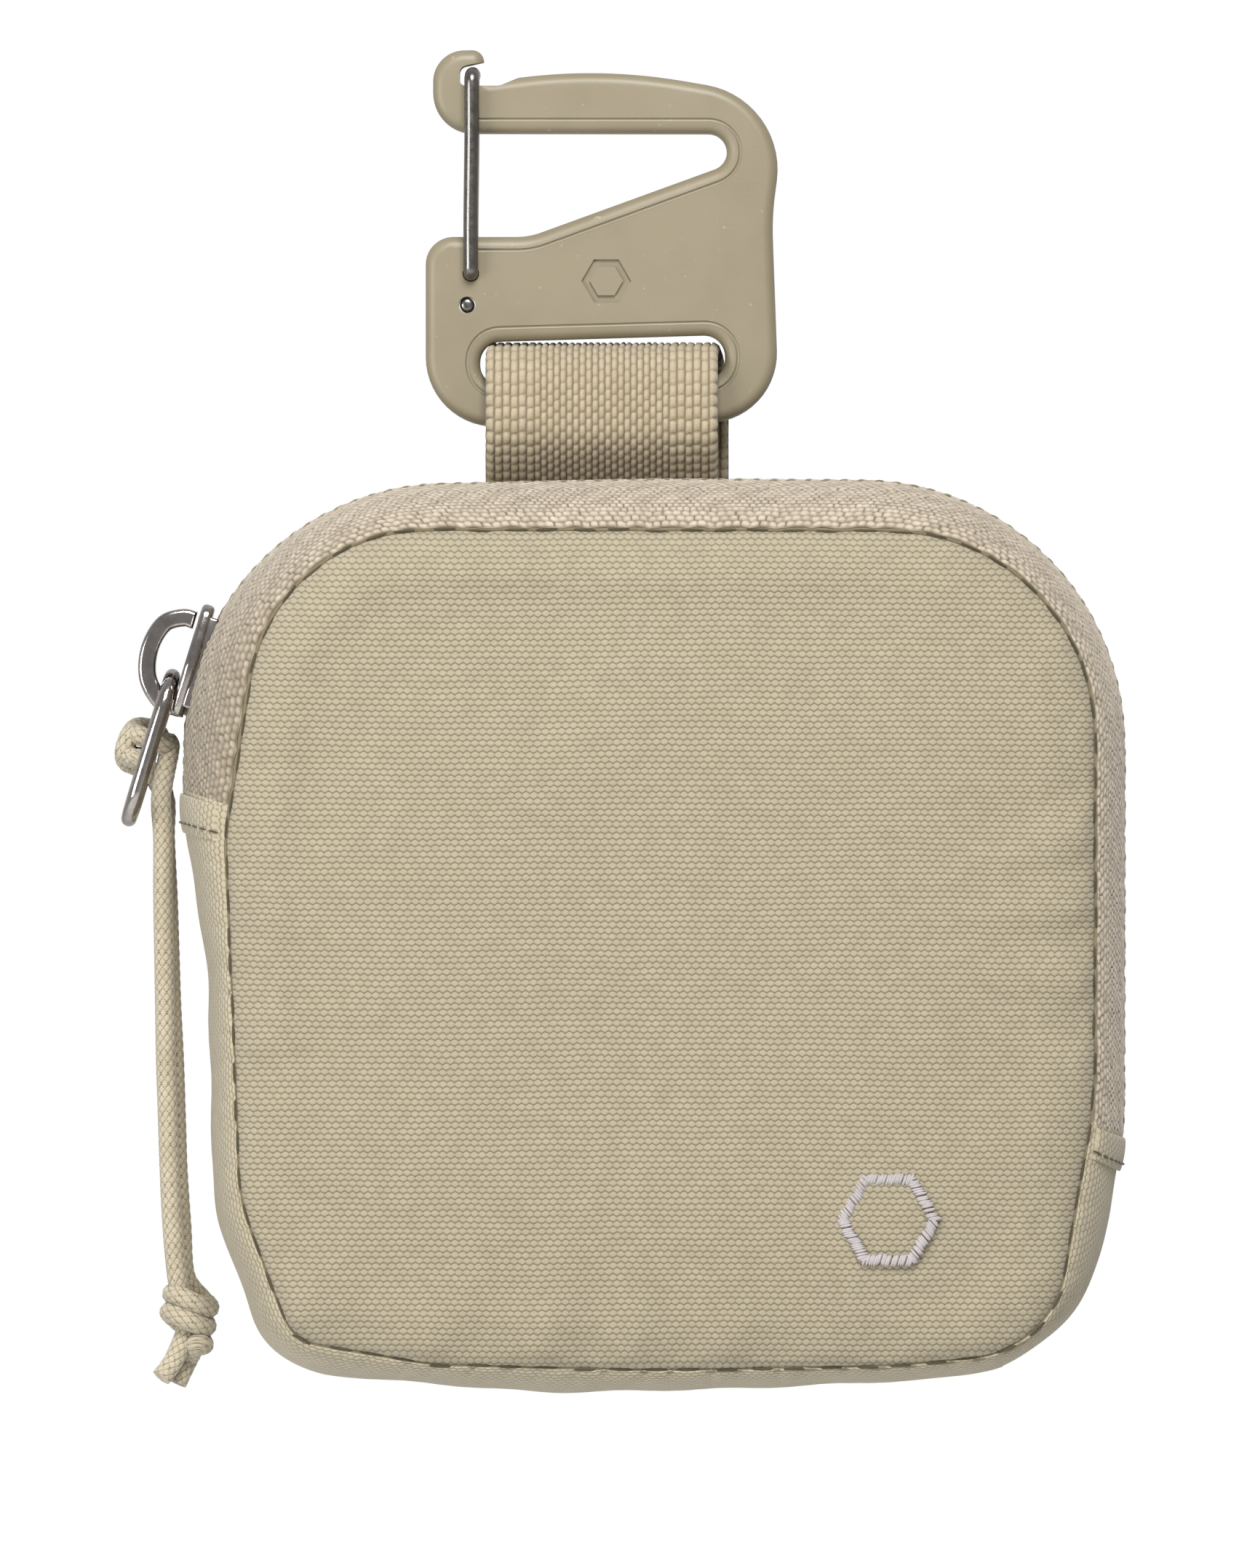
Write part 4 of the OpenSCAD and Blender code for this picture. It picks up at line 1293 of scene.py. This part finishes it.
def gate():
    """One bent wire: foot, front leg, crossbar, back leg, foot."""
    leg = HOOK_T / 2 + WIRE_GAP + WIRE_R
    sink = HOOK_T / 2 - HOLE_DEPTH
    f = HOOK_Y - leg
    (px, pz), (cx, cz) = PIVOT, CROSSBAR
    front = [
        (px, HOOK_Y - sink, pz), (px, f + 0.9, pz), (px, f + 0.25, pz + 0.25), (px, f, pz + 0.9), (px, f, pz + 6),
        (cx, f, cz - 7), (cx, f, cz - 1.1), (cx + 0.02, f + 0.3, cz - 0.3), (cx + 0.1, f + 1.1, cz),
    ]
    back = [(x, 2 * HOOK_Y - y, z) for x, y, z in front[::-1]]
    pts = front + [(cx + 0.15, HOOK_Y, cz)] + back
    obj = tube("gate", smooth_path(pts, 0.25), WIRE_R, steel, sides=20)
    assign(obj, "gate", "gate_steel", "gate_wire")
    x, z, _, _ = cad_middle("gate_foot")
    y0, y1 = (v.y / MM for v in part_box("gate_foot"))
    ends = np.array([0.05, 0.1, 0.25, 0.5])
    steps = np.concatenate([y0 + ends, y1 - ends[::-1]])
    radii = np.array([0.3, 0.55, 0.72, WIRE_R, WIRE_R, 0.72, 0.55, 0.3])
    path = np.stack([np.full(8, x), steps, np.full(8, z)], axis=1)
    foot = tube("foot", path, radii, steel, sides=20)
    assign(foot, "hook", "gate_steel", "gate_foot")


gate()


# ---- slider and ring


def at_slider(radius):
    """Frame on the zip's corner: x along the zip, y away from the viewer, z out of the pouch."""
    n = Vector((-cos(SLIDER_AT), 0, sin(SLIDER_AT)))
    t = Vector((sin(SLIDER_AT), 0, cos(SLIDER_AT)))
    m = Matrix((t, ACROSS, n)).transposed().to_4x4()
    m.translation = row(ZIP_CORNER[0], 0, ZIP_CORNER[1]) + n * radius * MM
    return m


def slider():
    plates = [
        # name, corners, steps at a corner, thickness, bevel, distance out from the zip's corner, bevel's steps
        ("plate", [(-6.4, -3.2, 1.4), (-1, -4.3, 6), (6.2, -3.4, 1.6), (6.2, 3.4, 1.6), (-1, 4.3, 6), (-6.4, 3.2, 1.4)],
         6, 1.35, 0.5, 0.6, 4),
        *(("flange", [(-5.2, y - 0.35, 0.3), (5, y * 3.2 / 3.4 - 0.35, 0.3), (5, y * 3.2 / 3.4 + 0.35, 0.3),
                      (-5.2, y + 0.35, 0.3)], 3, 1.1, 0.2, -0.35, 2) for y in (-3.4, 3.4)),
        ("plate", [(-6, -2.4, 1), (6, -2.2, 1), (6, 2.2, 1), (-6, 2.4, 1)], 6, 1.0, 0.35, -4.6, 3),
        ("post", [(-6.0, -0.35, 0.1), (-2.2, -0.3, 0.1), (-2.2, 0.3, 0.1), (-6.0, 0.35, 0.1)], 3, 5.0, 0.1, -2.2, 2),
    ]
    parts = [flat_piece(kind, [rounded(corners, steps)], thick, bevel, at_slider(PLATE_R + out), nickel, fineness)
             for kind, corners, steps, thick, bevel, out, fineness in plates]
    obj = joined("slider", parts)
    assign(obj, "slider", "dark_nickel", "slider_body")
    bend = [(-51.0, 74.0), (-53.5, 74.8), (-55.0, 77.4), (-54.8, 80.6), (-53.3, 83.2), (-51.2, 83.9), (-49.9, 83.6)]
    crown = flat_piece("crown", [bar_outline(bend, 0.95)], 3.4, 0.45, facing(0), nickel, 4)
    assign(crown, "slider", "dark_nickel", "slider_crown")


def joined(name, parts):
    bm = bmesh.new()
    for p in parts:
        bm.from_mesh(p.data)
    me = bpy.data.meshes.new(name)
    bm.to_mesh(me)
    bm.free()
    me.materials.append(parts[0].data.materials[0])
    me.shade_smooth()
    me.set_sharp_from_angle(angle=radians(40))
    for p in parts:
        bpy.data.objects.remove(p)
    return link(name, me)


slider()

ring_top = np.array([ZIP_CORNER[0] - RING_PATH_R * cos(RING_AT), 0,
                     ZIP_CORNER[1] + RING_PATH_R * sin(RING_AT)])
ring_down = np.array([-sin(RING_LEAN), 0, -cos(RING_LEAN)])
ring_out = np.cross(ring_down, ACROSS)


def on_ring(down, side):
    return ring_top + ring_down * down + ACROSS * side


def pull_ring():
    half = [(RING_R * sin(a), RING_R * cos(a)) for a in np.arange(24) * pi / 24]
    pts = [on_ring(RING_R - down, -side) for down, side in half]
    pts += [on_ring(RING_R + RING_STRAIGHT + down, side) for down, side in half]
    obj = loop_tube("ring", np.array(pts), RING_D / 2, ring_out, nickel)
    assign(obj, "ring", "dark_nickel", "pull_ring")


pull_ring()


# ---- pull cord


def braid(s, angle):
    """Two sets of strands that cross round the cord: height of their humps, and a tone that paints shade in the grooves
    between them.
    """
    f = np.abs(np.sin(4 * angle + 2 * pi * s / 2.2))
    g = np.abs(np.sin(4 * angle - 2 * pi * s / 2.2))
    hump = np.minimum(f, g) ** 0.6
    return 0.1 * (hump - 0.6), hump


ROUTE_A = [
    (-53.6, 1.4, 64.6), (-53.4, 1.6, 60), (-53.4, 1.8, 54), (-53.3, 1.9, 48), (-53.2, 2, 42),
    (-53.1, 2, 36), (-52.9, 2, 30), (-52.7, 2, 24), (-52.4, 2.1, 18), (-51.9, 2.3, 12.6),
]
ROUTE_B = [
    (-53.4, 5.8, 64.6), (-53.3, 5.2, 60), (-53.0, 4.8, 54), (-52.8, 4.7, 48), (-52.6, 4.6, 42),
    (-52.3, 4.5, 36), (-52.1, 4.5, 30), (-51.9, 4.5, 24), (-51.5, 4.6, 18), (-51.1, 4.9, 12.6),
]
TAIL_A = [(-52, 2.4, 4), (-52.8, 2, 2.6), (-53.6, 1.6, 1.6)]
TAIL_B = [(-50.6, 4.8, 3.8), (-51.4, 4.6, 2.2), (-52, 4.4, 0.9)]
KNOT = np.array([-50.7, 3.6, 8.2])


def wrap(down, stop, steps):
    """Turn of cord round the ring's far bar, from 20 degrees to stop."""
    r = RING_D / 2 + CORD_D / 2 + CORD_GAP
    out = []
    for k in range(steps + 1):
        a = radians(20 + (stop - 20) * k / steps)
        slide = 0.5 * k / steps
        centre = on_ring(down + slide, RING_R)
        out.append(tuple(centre + r * (cos(a) * ACROSS + sin(a) * ring_out)))
    return out


def bight():
    """The loop's closed end, lying over both turns on the side away from the pouch."""
    r = RING_D / 2 + CORD_D * 0.82
    out = []
    for down, share, angle in (
        (10.4, 0.8, -15), (10.3, 0.95, -55), (9.3, 1, -95), (7.5, 1, -100), (6.4, 0.95, -55), (6.2, 0.8, -10),
    ):
        a = radians(angle)
        out.append(tuple(on_ring(down, RING_R) + r * share * (cos(a) * ACROSS + sin(a) * ring_out)))
    return out


def turns(start, stop, count, top, bottom, radius):
    """Turns of cord round the knot's core, angles in degrees, on a leaning axis."""
    lean = radians(33)
    out = []
    steps = int(count * 12)
    for k in range(steps + 1):
        f = k / steps
        a = radians(start + (stop - start) * f)
        x, y = radius * cos(a), radius * sin(a)
        z = top + (bottom - top) * f
        out.append((KNOT[0] + x * cos(lean) + z * 0.15, KNOT[1] + y, KNOT[2] + z - x * sin(lean)))
    return out


def pull_cord():
    a = bight() + wrap(6.9, -250, 8) + ROUTE_A
    a += [(-51.3, 2.9, 9.5), (-50.9, 3.2, 7)] + TAIL_A
    b = wrap(9.3, -170, 7) + ROUTE_B
    b += turns(60, 60 - 360 * 2.3, 2.3, 2.5, -2.1, 2.3) + TAIL_B
    for name, pts, nodes in (
        ("cord_a", a, ("cord_strand_a", "cord_hitch")),
        ("cord_b", b, ("cord_strand_b", "cord_knot", "cord_tails")),
    ):
        path = smooth_path(pts, 0.12)
        obj = tube(name, path, CORD_D / 2 - 0.02, cord_yarn, sides=40, relief=braid)
        assign(obj, "cord", "cord", *nodes)
        tuple(rows(path[0]))
        [tuple(p) for p in rows(path[::8])]


pull_cord()


# ---- embroidered badge


def embroidery():
    """Satin stitch: short threads laid across a six-sided ring."""
    cx, cz, r, _ = cad_middle("embroidered_mark")
    r -= 0.6
    y = -(HALF_DEPTH - EDGE_DROP + 2.1 + 1.5)
    corner = hexagon(cx, cz, r)
    places = []
    rng = np.random.default_rng(5)
    for i in range(6):
        (x0, z0), (x1, z1) = corner[i], corner[(i + 1) % 6]
        side = hypot(x1 - x0, z1 - z0)
        n = int(side / 0.26)
        ux, uz = (x1 - x0) / side, (z1 - z0) / side
        for k in range(n + 1):
            f = k / n
            jig = rng.uniform(-0.12, 0.12, 2)
            skew = 0.35
            ax, az = -uz + ux * skew, ux + uz * skew
            m = hypot(ax, az)
            at = (x0 + (x1 - x0) * f + jig[0], y, z0 + (z1 - z0) * f + jig[1])
            places.append((at, (ax / m, 0, az / m), (0, -1, 0)))
    obj = stitches("badge_thread", places, 1.35, 0.17, pale_thread, "pouch")
    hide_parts("embroidered_mark")


embroidery()
